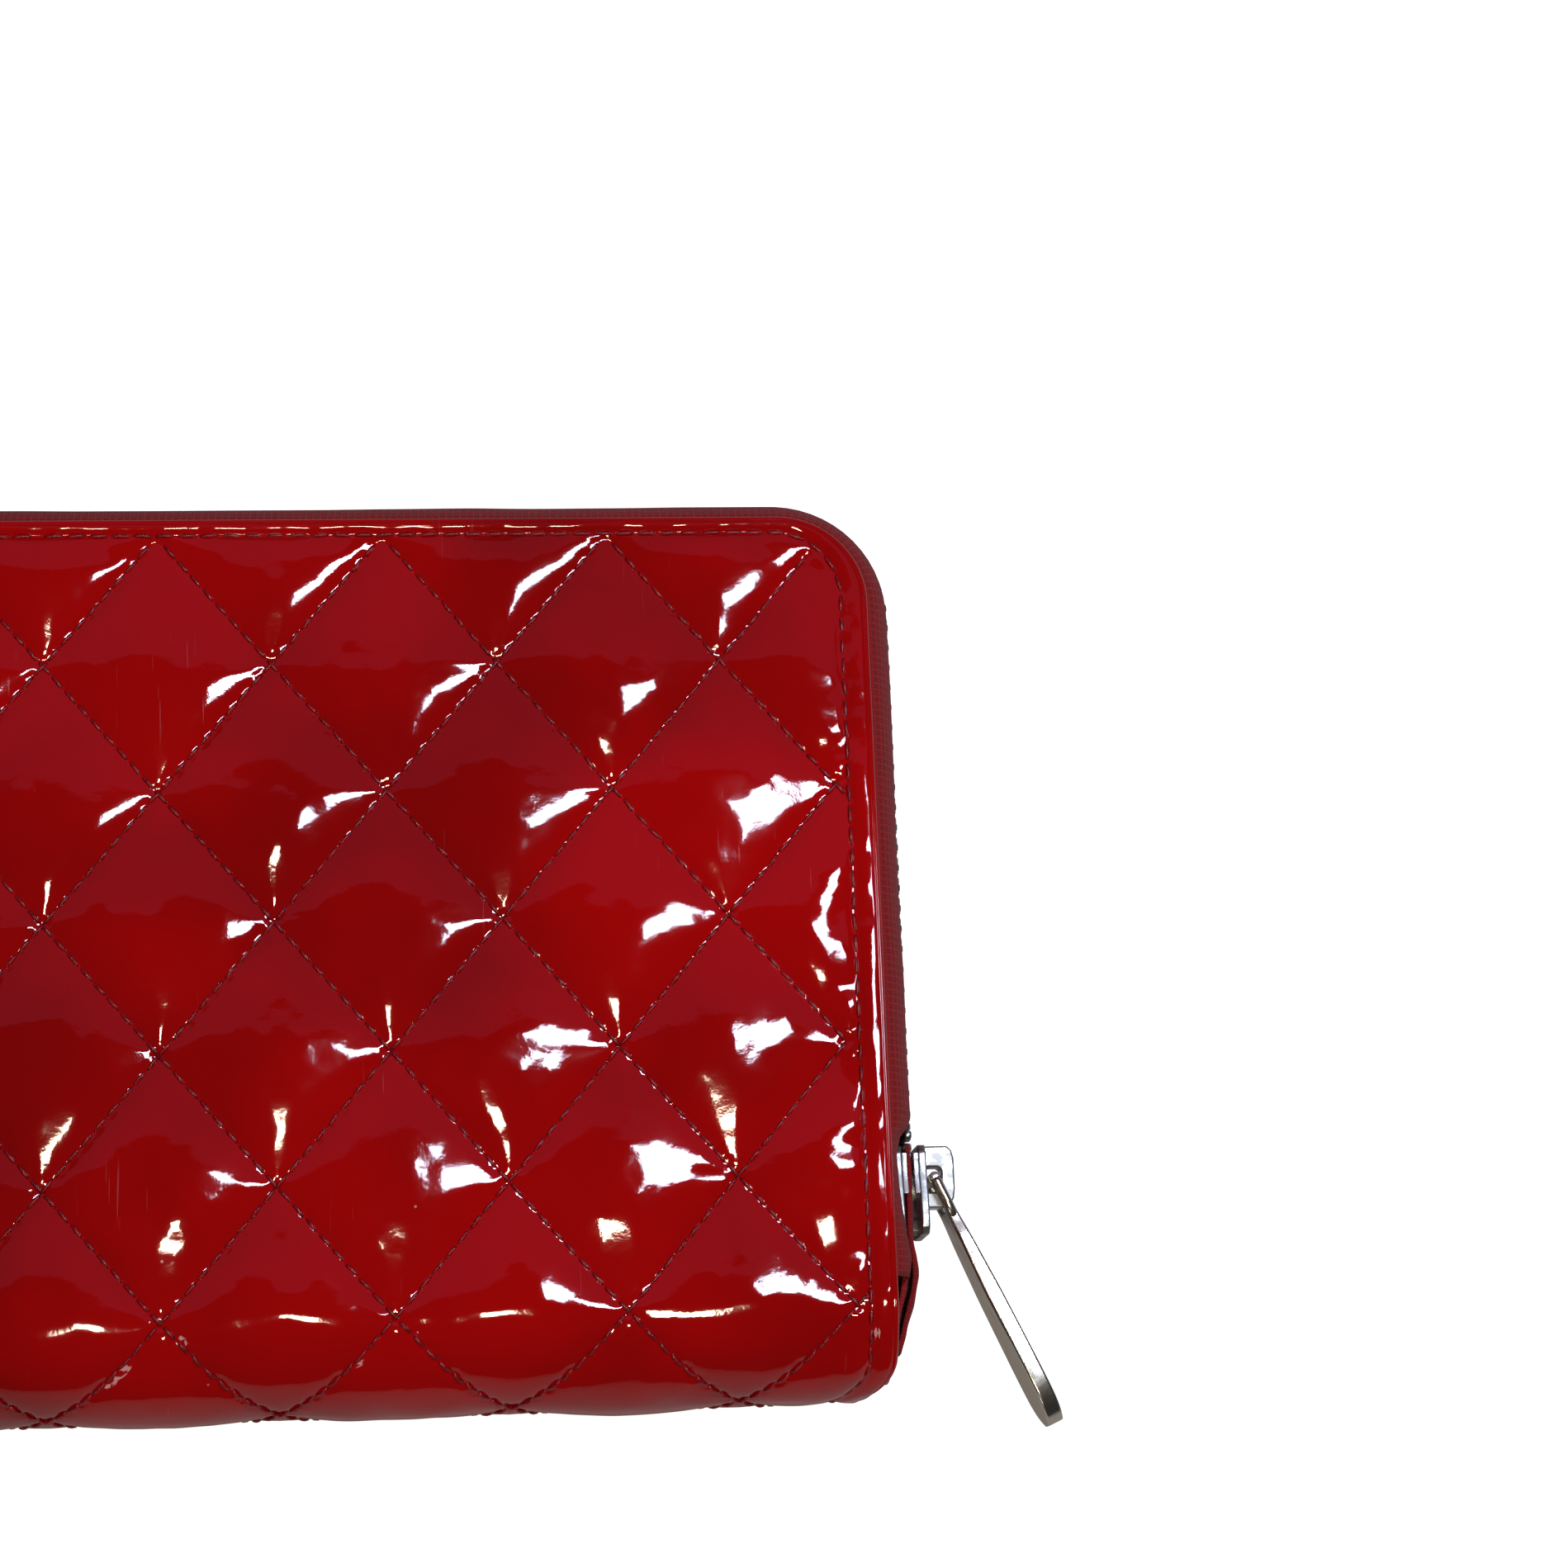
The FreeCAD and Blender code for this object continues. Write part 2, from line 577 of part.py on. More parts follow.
def crown(name, low, high, rise, wall, width, window_low, window_high):
    """The arch on a slider's outer plate that the puller hangs from, with rounded top corners."""
    block = box(name + "_block", ("0", rise), (f"-{low}", high), (f"-{width} / 2", f"{width} / 2"))
    window = box(name + "_window", ("-1", f"{rise} - {wall}"), (f"-{window_low}", window_high),
                 (f"-{width}", width))
    arch = cut(name + "_arch", block, window)
    doc.recompute()
    radius = SIZE[wall.replace("dims.", "")] * 0.8
    top = arch.Shape.BoundBox.XMax
    rounded = doc.addObject("Part::Fillet", name + "_rounded")
    rounded.Base = arch
    rounded.Edges = [
        (index + 1, radius, radius) for index, edge in enumerate(arch.Shape.Edges)
        if all(abs(vertex.X - top) < 1e-6 for vertex in edge.Vertexes)
        and abs(edge.Vertexes[0].Y - edge.Vertexes[-1].Y) < 1e-6]
    return rounded


def pull_tab(name, pin, length, width, neck, thickness, eye, arm):
    """A puller: a cross bar, two arms round the crown and a blade with a round end towards -Y."""
    bar = doc.addObject("Part::Cylinder", name + "_bar")
    bar.setExpression("Radius", pin)
    bar.setExpression("Height", neck)
    bar.setExpression("Placement.Base.z", f"-{neck} / 2")
    arms = box(name + "_arms", (f"-{pin}", pin), (f"-{eye} - 1.5", "0"), (f"-{neck} / 2", f"{neck} / 2"))
    gap = box(name + "_eye", (f"-2 * {pin}", f"2 * {pin}"), (f"-{eye}", "1"),
              (f"-{neck} / 2 + {arm}", f"{neck} / 2 - {arm}"))
    blade = box(name + "_blade", (f"-{thickness} / 2", f"{thickness} / 2"),
                (f"-{length} + {width} / 2", f"-{eye} - 0.8"), (f"-{width} / 2", f"{width} / 2"))
    tip = doc.addObject("Part::Cylinder", name + "_tip")
    tip.setExpression("Radius", f"{width} / 2")
    tip.setExpression("Height", thickness)
    tip.Placement = FreeCAD.Placement(Vector(), FreeCAD.Rotation(Vector(0, 1, 0), 90))
    tip.setExpression("Placement.Base.x", f"-{thickness} / 2")
    tip.setExpression("Placement.Base.y", f"-{length} + {width} / 2")
    return fuse(name + "_joined", [bar, cut(name + "_fork", arms, gap), blade, tip])


def main_slider():
    """The main zip's slider, its crown and its puller, low on the right side."""
    outer = "dims.half_width + dims.tape_reach - dims.tape / 2"
    plate_top = f"{outer} + dims.slider_gap / 2 + dims.slider_plate"
    shell = slider_shell("main_slider", "slider", "dims.slider_width")
    arch = crown("main_crown", "dims.crown_low", "dims.crown_high", "dims.crown_rise",
                 "dims.crown_wall", "dims.crown_width", "dims.window_low", "dims.window_high")
    for part, place_x, label in ((shell, outer, "slider_body"), (arch, plate_top, "slider_crown")):
        part.setExpression("Placement.Base.x", place_x)
        part.setExpression("Placement.Base.y", "-dims.slider_y")
        part.setExpression("Placement.Base.z", "dims.thickness / 2")
        keep(part, label)
    tab = pull_tab("main_puller", "dims.puller_pin", "dims.puller_length", "dims.puller_width",
                   "dims.puller_neck", "dims.puller_thickness", "dims.eye", "dims.arm")
    tab.Placement = FreeCAD.Placement(Vector(), FreeCAD.Rotation(Vector(0, 0, 1), PULLER_ANGLE))
    tab.setExpression("Placement.Base.x", f"{plate_top} + dims.pivot_rise")
    tab.setExpression("Placement.Base.y", "-dims.slider_y + dims.pivot_y")
    tab.setExpression("Placement.Base.z", "dims.thickness / 2")
    keep(tab, "puller")


def coin_slider():
    """The coin zip's slider, crown and puller, at the closed end on the left."""
    chain = "dims.coin_top + dims.coin_tape / 2"
    plate_top = f"{chain} + dims.small_gap / 2 + dims.small_plate"
    shell = slider_shell("small_slider", "small", "dims.small_width")
    arch = crown("small_arch", "dims.small_low", "dims.small_high", "dims.small_rise",
                 "dims.small_wall", "dims.small_crown", "dims.small_window_low",
                 "dims.small_window_high")
    turned = FreeCAD.Rotation(Vector(1, 1, 0), 180)
    for part, place_y, label in ((shell, chain, "coin_slider_body"),
                                 (arch, plate_top, "coin_slider_crown")):
        part.Placement = FreeCAD.Placement(Vector(), turned)
        part.setExpression("Placement.Base.x", "-dims.coin_slider_x")
        part.setExpression("Placement.Base.y", place_y)
        part.setExpression("Placement.Base.z", "dims.thickness / 2")
        keep(part, label)
    tab = pull_tab("small_tab", "dims.small_pin", "dims.small_puller", "dims.small_puller_width",
                   "dims.small_puller_neck", "dims.small_puller_thickness",
                   "dims.small_eye", "dims.small_arm")
    tab.Placement = FreeCAD.Placement(Vector(), FreeCAD.Rotation(Vector(0, 0, 1), 90))
    tab.setExpression("Placement.Base.x", "-dims.coin_slider_x + dims.small_pivot_y")
    tab.setExpression("Placement.Base.y", f"{plate_top} + dims.small_pivot_rise")
    tab.setExpression("Placement.Base.z", "dims.thickness / 2")
    keep(tab, "coin_puller")


# ---------------------------------------------------------------- assembly

def export():
    """Check every object, then write one STEP file per sub-part."""
    doc.recompute()
    for item in doc.Objects:
        if any(word in item.State for word in ("Invalid", "Error")):
            raise RuntimeError(f"{item.Label} failed: {item.State}")
    os.makedirs("parts", exist_ok=True)
    for part in subparts:
        shape = part.Shape
        if shape.isNull() or not shape.isValid() or not shape.Solids:
            raise RuntimeError(f"{part.Label} has no valid solid")
        shape.exportStep(f"parts/{part.Label}.step")
        print(f"{part.Label}: {len(shape.Solids)} solids, {shape.Volume:.1f} mm3")
    print(len(subparts), "sub-parts")


cover_layers("back", BACK_TAPE_END, BACK_TAPE_END)
for piece in cover_layers("front", LEFT_TAPE_END, FRONT_TAPE_END):
    turn_to_front(piece)
for cover_side in ("back", "front"):
    pocket_panels(cover_side)
spine()
for hand in ("left", "right"):
    gusset(f"{hand}_back_gusset", hand)
for hand in ("right", "left"):
    turn_to_front(gusset(f"{hand}_front_gusset", "left" if hand == "right" else "right"))
main_teeth()
zip_ends()
coin_pocket()
coin_teeth()
main_slider()
coin_slider()
export()
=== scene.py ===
"""Zip around wallet of red quilted patent leather: the looks of every piece.

The covers' leather is one quilted sheet, folded round the spine.  It is worked out unrolled, with x
along the wallet and `down` measured from the front cover's top edge, round the spine and up the back
to the back cover's top edge.  Lengths are millimetres; meshes are made in metres.
"""
import json
import logging
import math
from contextlib import contextmanager
from dataclasses import dataclass, field
from enum import Enum
from functools import cache
from typing import Iterable, Iterator, Sequence

import bmesh
import bpy
import numpy as np
from mathutils import Matrix, Vector

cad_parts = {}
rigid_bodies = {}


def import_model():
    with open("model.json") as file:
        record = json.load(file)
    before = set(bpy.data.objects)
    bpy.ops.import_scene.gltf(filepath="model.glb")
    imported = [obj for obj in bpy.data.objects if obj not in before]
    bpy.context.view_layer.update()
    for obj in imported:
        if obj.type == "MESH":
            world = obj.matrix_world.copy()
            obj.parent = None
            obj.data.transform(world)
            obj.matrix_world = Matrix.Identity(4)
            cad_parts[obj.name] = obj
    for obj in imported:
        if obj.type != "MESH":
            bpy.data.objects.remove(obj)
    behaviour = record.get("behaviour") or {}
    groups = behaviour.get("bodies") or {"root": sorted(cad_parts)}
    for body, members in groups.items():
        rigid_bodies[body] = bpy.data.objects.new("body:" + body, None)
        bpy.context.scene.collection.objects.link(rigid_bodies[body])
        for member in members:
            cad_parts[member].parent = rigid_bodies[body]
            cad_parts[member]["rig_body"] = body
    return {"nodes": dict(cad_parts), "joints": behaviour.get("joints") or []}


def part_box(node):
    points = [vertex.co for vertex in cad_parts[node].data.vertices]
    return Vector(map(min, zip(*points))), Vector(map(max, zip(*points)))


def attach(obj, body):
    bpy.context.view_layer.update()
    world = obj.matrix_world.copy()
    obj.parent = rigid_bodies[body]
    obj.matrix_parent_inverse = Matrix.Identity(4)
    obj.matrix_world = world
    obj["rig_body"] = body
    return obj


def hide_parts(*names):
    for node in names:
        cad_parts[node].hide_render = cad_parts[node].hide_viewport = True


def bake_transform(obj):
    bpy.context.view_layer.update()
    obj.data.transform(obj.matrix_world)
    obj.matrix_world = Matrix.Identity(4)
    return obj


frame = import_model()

MM = 0.001
FULL_TURN = 2 * math.pi
QUARTER_TURN = math.pi / 2
NOISE_CELLS = 64
SHARP_ANGLE = math.radians(30)
ROUNDING_PROFILE = 0.6
THREAD_SIDES = 6
log = logging.getLogger("wallet")


class Cover(Enum):
    """The two covers of the wallet."""

    FRONT = "front"
    BACK = "back"


class End(Enum):
    """The two ends of the wallet, by their direction along X."""

    LEFT = -1
    RIGHT = 1


# ------------------------------------------------------------------ numbers and lines

def box_mm(node: str) -> tuple[Vector, Vector]:
    """Lowest and highest corner of a CAD node, in millimetres."""
    low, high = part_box(node)
    return low / MM, high / MM


def smooth_step(share: np.ndarray) -> np.ndarray:
    """Ease a share between 0 and 1 at both ends."""
    return share * share * (3 - 2 * share)


def soft_noise(x: np.ndarray, y: np.ndarray, scale: float, seed: int) -> np.ndarray:
    """Smooth random heights between about -1 and 1.

    Args:
        x: first coordinate.
        y: second coordinate.
        scale: size of one hump, in the coordinates' unit.
        seed: seed of the random numbers.

    Returns:
        One height for each point.
    """
    table = np.random.default_rng(seed).uniform(-1, 1, (NOISE_CELLS, NOISE_CELLS))
    column, row = np.asarray(x) / scale, np.asarray(y) / scale
    left, low = np.floor(column).astype(int), np.floor(row).astype(int)
    across, up = smooth_step(column - left), smooth_step(row - low)
    corner = [table[(left + right) % NOISE_CELLS, (low + high) % NOISE_CELLS]
              for right, high in ((0, 0), (1, 0), (0, 1), (1, 1))]
    lower = corner[0] * (1 - across) + corner[1] * across
    upper = corner[2] * (1 - across) + corner[3] * across
    return lower * (1 - up) + upper * up


def distance_along(line: np.ndarray) -> np.ndarray:
    """Distance from a line's start to each of its points."""
    return np.concatenate([[0], np.cumsum(np.linalg.norm(np.diff(line, axis=0), axis=1))])


def unit_headings(line: np.ndarray) -> np.ndarray:
    """Unit vectors along a line, one for each of its points."""
    heading = np.gradient(line, axis=0)
    return heading / np.linalg.norm(heading, axis=1)[:, None]


def turned_left(heading: np.ndarray) -> np.ndarray:
    """Directions in the plane, turned left by a right angle."""
    return np.stack([-heading[:, 1], heading[:, 0]], axis=-1)


def smooth_line(points: Sequence[tuple[float, float]], steps: int) -> np.ndarray:
    """A smooth line through the given points.

    Args:
        points: the points, in the plane.
        steps: points on each span.

    Returns:
        The line's points.
    """
    knots = np.asarray(points, float)
    knots = np.vstack([2 * knots[0] - knots[1], knots, 2 * knots[-1] - knots[-2]])
    share = np.linspace(0, 1, steps, endpoint=False)[:, None]
    spans = []
    for first, second, third, fourth in zip(knots, knots[1:], knots[2:], knots[3:]):
        spans.append(0.5 * (2 * second + (third - first) * share
                            + (2 * first - 5 * second + 4 * third - fourth) * share ** 2
                            + (3 * second - first - 3 * third + fourth) * share ** 3))
    return np.vstack([*spans, knots[-2][None]])


def thick_line(line: Sequence[tuple[float, float]], thickness: float) -> np.ndarray:
    """Closed outline round a line: its one side, then the other side backwards.

    Args:
        line: the middle line.
        thickness: thickness across the line.

    Returns:
        The outline's points.
    """
    middle = np.asarray(line, float)
    side = turned_left(unit_headings(middle)) * thickness / 2
    return np.concatenate([middle + side, (middle - side)[::-1]])


def bulged_wall(low: float, high: float, thickness: float, count: int, bulge: float,
                shift: float = 0.0) -> np.ndarray:
    """Section of a thin wall that stands upright and bulges to one side.

    Args:
        low: height of its lower edge.
        high: height of its upper edge.
        thickness: its thickness.
        count: points on each of its faces.
        bulge: how far its middle lies outside its edges.
        shift: how far its edges lie outside the path.

    Returns:
        Points as (outwards, height).
    """
    across = np.linspace(0, 1, count)
    out = bulge * (1 - (2 * across - 1) ** 2) + shift
    return thick_line(np.stack([out, low + (high - low) * across], axis=-1), thickness)


# ------------------------------------------------------------------ meshes

def grid_faces(rows: int, columns: int, start: int = 0, wrap: bool = False) -> np.ndarray:
    """Quads of a grid whose points run row by row.

    Args:
        rows: number of rows of points.
        columns: number of points in a row.
        start: index of the first point.
        wrap: True joins each row's last point to its first.

    Returns:
        Array of quads.
    """
    last = columns if wrap else columns - 1
    row, column = np.meshgrid(np.arange(rows - 1), np.arange(last), indexing="ij")
    following = (column + 1) % columns
    quads = np.stack([row * columns + column, row * columns + following,
                      (row + 1) * columns + following, (row + 1) * columns + column], axis=-1)
    return quads.reshape(-1, 4) + start


def swept_faces(rings: int, sides: int) -> list:
    """Faces of a closed section carried along a path, with a cap on each end.

    Args:
        rings: number of sections.
        sides: number of points in a section.

    Returns:
        The quads and the two caps.
    """
    last = (rings - 1) * sides
    return [*grid_faces(rings, sides, wrap=True).tolist(), list(range(sides))[::-1],
            list(range(last, last + sides))]


def copied_faces(faces: Iterable[Sequence[int]], points: int, copies: int) -> list:
    """Faces of several copies of one mesh that has the given number of points."""
    faces = [list(face) for face in faces]
    return [[index + copy * points for index in face] for copy in range(copies) for face in faces]


def upright_points(base: np.ndarray, side: np.ndarray, offset: np.ndarray,
                   level: np.ndarray) -> np.ndarray:
    """Points of a section carried upright along a path in the XY plane.

    Args:
        base: the path's points.
        side: the direction across the path at each of them.
        offset: how far to that side the section's points lie, for all of the path or for each point.
        level: their heights, in the same way.

    Returns:
        The points, section by section.
    """
    plan = base[:, None, :] + side[:, None, :] * np.atleast_2d(offset)[..., None]
    tall = np.broadcast_to(level, plan.shape[:2])
    return np.concatenate([plan, tall[..., None]], axis=-1).reshape(-1, 3)


def flat_coordinates(first: np.ndarray, second: np.ndarray) -> np.ndarray:
    """Pairs of flat coordinates from two arrays that broadcast together."""
    return np.stack(np.broadcast_arrays(first, second), axis=-1).reshape(-1, 2)


def make_piece(name: str, points: np.ndarray, faces: Iterable[Sequence[int]],
               material: bpy.types.Material, smooth: bool = True,
               uv: np.ndarray | None = None) -> bpy.types.Object:
    """Make a mesh object.

    Args:
        name: the piece's name.
        points: its points in millimetres.
        faces: its faces.
        material: its finish.
        smooth: True shades it smooth.
        uv: one pair of flat coordinates for each point, or None.

    Returns:
        The object, linked to the scene.
    """
    mesh = bpy.data.meshes.new(name)
    mesh.from_pydata((np.asarray(points) * MM).tolist(), [], [list(map(int, face)) for face in faces])
    mesh.polygons.foreach_set("use_smooth", [smooth] * len(mesh.polygons))
    if uv is not None:
        corner = np.empty(len(mesh.loops), int)
        mesh.loops.foreach_get("vertex_index", corner)
        mesh.uv_layers.new(name="flat").data.foreach_set("uv", np.asarray(uv)[corner].ravel())
    mesh.materials.append(material)
    mesh.update()
    return show(name, mesh)


def show(name: str, data: bpy.types.ID) -> bpy.types.Object:
    """Link an object for a mesh, light or camera to the scene.

    Args:
        name: the object's name.
        data: the mesh, light or camera.

    Returns:
        The object.
    """
    shown = bpy.data.objects.new(name, data)
    bpy.context.scene.collection.objects.link(shown)
    return shown


@contextmanager
def mesh_edit(mesh: bpy.types.Mesh) -> Iterator[bmesh.types.BMesh]:
    """Open a mesh for editing and write it back.

    Args:
        mesh: the mesh.

    Yields:
        The mesh as a BMesh.
    """
    work = bmesh.new()
    work.from_mesh(mesh)
    yield work
    work.to_mesh(mesh)
    work.free()


def make_shell(name: str, points: np.ndarray, faces: Iterable[Sequence[int]],
               material: bpy.types.Material, uv: np.ndarray | None = None) -> bpy.types.Object:
    """Make a closed piece whose faces all look outwards.

    Args:
        name: the piece's name.
        points: its points in millimetres.
        faces: its faces, turned either way.
        material: its finish.
        uv: one pair of flat coordinates for each point, or None.

    Returns:
        The piece.
    """
    piece = make_piece(name, points, faces, material, uv=uv)
    with mesh_edit(piece.data) as work:
        bmesh.ops.recalc_face_normals(work, faces=work.faces)
    return piece


def shade_evenly(piece: bpy.types.Object) -> None:
    """Let large faces lead the shading across rounded edges."""
    piece.modifiers.new("even_shading", "WEIGHTED_NORMAL").keep_sharp = True


def soften_edges(piece: bpy.types.Object, width: float, segments: int = 2) -> bpy.types.Object:
    """Round a piece's sharp edges and shade it smooth.

    Args:
        piece: the piece.
        width: width of the rounding, in millimetres.
        segments: faces across the rounding.

    Returns:
        The same piece.
    """
    with mesh_edit(piece.data) as work:
        bmesh.ops.recalc_face_normals(work, faces=work.faces)
        sharp = [edge for edge in work.edges if edge.calc_face_angle(0) > SHARP_ANGLE]
        bmesh.ops.bevel(work, geom=sharp, offset=width * MM, segments=segments,
                        profile=ROUNDING_PROFILE, affect="EDGES", clamp_overlap=True)
        for item in work.faces:
            item.smooth = True
    shade_evenly(piece)
    return piece


def join_parts(parts: Sequence[tuple[np.ndarray, np.ndarray]]) -> tuple[np.ndarray, list]:
    """Join several sets of points and faces into one.

    Args:
        parts: pairs of points and faces.

    Returns:
        All the points and all the faces.
    """
    points, faces, count = [], [], 0
    for part_points, part_faces in parts:
        points.append(np.asarray(part_points, float))
        faces.extend([[int(index) + count for index in face] for face in part_faces])
        count += len(part_points)
    return np.concatenate(points), faces


def join_objects(parts: Sequence[bpy.types.Object], name: str) -> bpy.types.Object:
    """Make one piece of several, with their modifiers applied.

    Args:
        parts: the objects, which go.
        name: the new piece's name.

    Returns:
        The piece.
    """
    graph = bpy.context.evaluated_depsgraph_get()
    work = bmesh.new()
    material = parts[0].data.materials[0]
    for part in parts:
        mesh = bpy.data.meshes.new_from_object(part.evaluated_get(graph))
        work.from_mesh(mesh)
        bpy.data.meshes.remove(mesh)
        bpy.data.objects.remove(part)
    joined = bpy.data.meshes.new(name)
    work.to_mesh(joined)
    work.free()
    joined.materials.clear()
    joined.materials.append(material)
    piece = show(name, joined)
    shade_evenly(piece)
    return piece


def prism(outline: Sequence[tuple[float, float]], low: float, high: float) -> tuple[np.ndarray, list]:
    """A flat outline given a thickness.

    Args:
        outline: corners as (first, second) coordinates.
        low: start of the thickness.
        high: end of the thickness.

    Returns:
        Points as (thickness, first, second), and faces.
    """
    points = [(level, first, second) for level in (low, high) for first, second in outline]
    return np.array(points), swept_faces(2, len(outline))


def block(low: Vector, high: Vector) -> tuple[np.ndarray, list]:
    """Points and faces of a block between two corners."""
    return prism([(low.y, low.z), (high.y, low.z), (high.y, high.z), (low.y, high.z)], low.x, high.x)


def rod(path: Sequence[Sequence[float]], radius: float, sides: int = 10) -> tuple[np.ndarray, list]:
    """A round rod along a path, with closed ends.

    Args:
        path: the points of its middle line.
        radius: its radius.
        sides: number of sides.

    Returns:
        Points and faces.
    """
    line = np.asarray(path, float)
    heading = unit_headings(line)
    side = np.cross(heading[0], (0.12, 0.34, 0.93))
    turn = np.linspace(0, FULL_TURN, sides, endpoint=False)[:, None]
    rings = []
    for place, direction in zip(line, heading):
        side = side - direction * side.dot(direction)
        side /= np.linalg.norm(side)
        rings.append(place + radius * (np.cos(turn) * side + np.sin(turn) * np.cross(direction, side)))
    return np.concatenate(rings), swept_faces(len(line), sides)


def straight_stitches(start: Sequence[float], stop: Sequence[float], level: float, up: int,
                      pitch: float = 2.8, radius: float = 0.14) -> tuple[np.ndarray, list]:
    """A straight run of stitches on a flat panel.

    Args:
        start: first end, in the XY plane.
        stop: second end.
        level: height of the panel's face.
        up: 1 where the face looks up, -1 where it looks down.
        pitch: spacing of the stitches.
        radius: radius of the thread.

    Returns:
        Points and faces.
    """
    first, last = np.asarray(start, float), np.asarray(stop, float)
    run = float(np.linalg.norm(last - first))
    heading = (last - first) / run
    side = np.array([-heading[1], heading[0]])
    share = np.array([-0.44, -0.3, 0.0, 0.3, 0.44]) * pitch
    lift = np.array([-0.25, -0.06, 0.02, -0.06, -0.25])
    turn = np.linspace(0, FULL_TURN, THREAD_SIDES, endpoint=False)
    middles = first + heading * np.arange(pitch / 2, run, pitch)[:, None]
    plan = middles[:, None, None, :] + heading * share[None, :, None, None] \
        + side * (radius * np.cos(turn))[None, None, :, None]
    tall = level + up * (lift[:, None] + radius * np.sin(turn)[None, :])
    tall = np.broadcast_to(tall[None, ..., None], (*plan.shape[:3], 1))
    points = np.concatenate([plan, tall], axis=-1).reshape(-1, 3)
    one = grid_faces(len(share), THREAD_SIDES, wrap=True).tolist()
    return points, copied_faces(one, len(share) * THREAD_SIDES, len(middles))


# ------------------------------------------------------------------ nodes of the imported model

def body_of_node(node: str) -> str:
    """Name of the body that a CAD node moves with."""
    return frame["nodes"][node]["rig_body"]


def leather_name(cover: Cover) -> str:
    """Name of a cover's quilted leather piece."""
    return f"quilted_leather_{cover.value}"


def stand_for(piece: bpy.types.Object, node: str) -> None:
    """Let a piece take a CAD node's place and move with its body."""
    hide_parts(node)
    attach(piece, body_of_node(node))


# ------------------------------------------------------------------ shader tools

class NodeBench:
    """Adds and joins shader nodes in one node tree."""

    def __init__(self, tree: bpy.types.NodeTree) -> None:
        """Start with an empty tree."""
        self.tree = tree
        tree.nodes.clear()

    def add(self, kind: str, inputs: dict | None = None, **settings: object) -> bpy.types.Node:
        """Add a node.

        Args:
            kind: the node's type.
            inputs: value or output socket for each input, by name or number.
            **settings: the node's properties.

        Returns:
            The node.
        """
        node = self.tree.nodes.new(kind)
        for key, value in settings.items():
            setattr(node, key, value)
        for key, value in (inputs or {}).items():
            if isinstance(value, bpy.types.NodeSocket):
                self.tree.links.new(value, node.inputs[key])
            else:
                node.inputs[key].default_value = value
        return node

    def math(self, operation: str, *values: object, clamp: bool = False) -> bpy.types.NodeSocket:
        """Add a Math node and return its output."""
        return self.add("ShaderNodeMath", dict(enumerate(values)), operation=operation,
                        use_clamp=clamp).outputs[0]

    def noise(self, vector: object, scale: object, detail: float = 2.0,
              roughness: float = 0.5) -> bpy.types.NodeSocket:
        """Add a Noise Texture and return its value."""
        return self.add("ShaderNodeTexNoise", {"Vector": vector, "Scale": scale, "Detail": detail,
                                               "Roughness": roughness}).outputs["Fac"]

    def band(self, value: object, low: float, high: float) -> bpy.types.NodeSocket:
        """Stretch the values from low to high to 0 to 1, smoothly, and return the output."""
        return self.add("ShaderNodeMapRange", {"Value": value, "From Min": low, "From Max": high},
                        interpolation_type="SMOOTHSTEP").outputs["Result"]

    def mix(self, share: object, first: object, second: object) -> bpy.types.NodeSocket:
        """Mix two colours and return the output."""
        return self.add("ShaderNodeMix", {0: share, 6: first, 7: second}, data_type="RGBA").outputs[2]

    def stretched(self, vector: object, stretch: tuple[float, float, float],
                  turn: float = 0.0) -> bpy.types.NodeSocket:
        """Turn about Z and scale a coordinate, and return it."""
        return self.add("ShaderNodeMapping", {"Vector": vector, "Scale": stretch,
                                              "Rotation": (0.0, 0.0, turn)}).outputs[0]

    def place(self) -> bpy.types.NodeSocket:
        """Add the object's own coordinates and return them."""
        return self.add("ShaderNodeTexCoord").outputs["Object"]

    def effect(self, tree: bpy.types.NodeTree, inputs: dict) -> bpy.types.NodeOutputs:
        """Place an effect's node group, set its inputs and return its outputs."""
        return self.add("ShaderNodeGroup", inputs, node_tree=tree).outputs

    def bump(self, height: object, depth: float, strength: float) -> bpy.types.NodeSocket:
        """Add a Bump node and return its normal; depth is in millimetres."""
        return self.add("ShaderNodeBump", {"Height": height, "Distance": depth * MM,
                                           "Strength": strength}).outputs["Normal"]


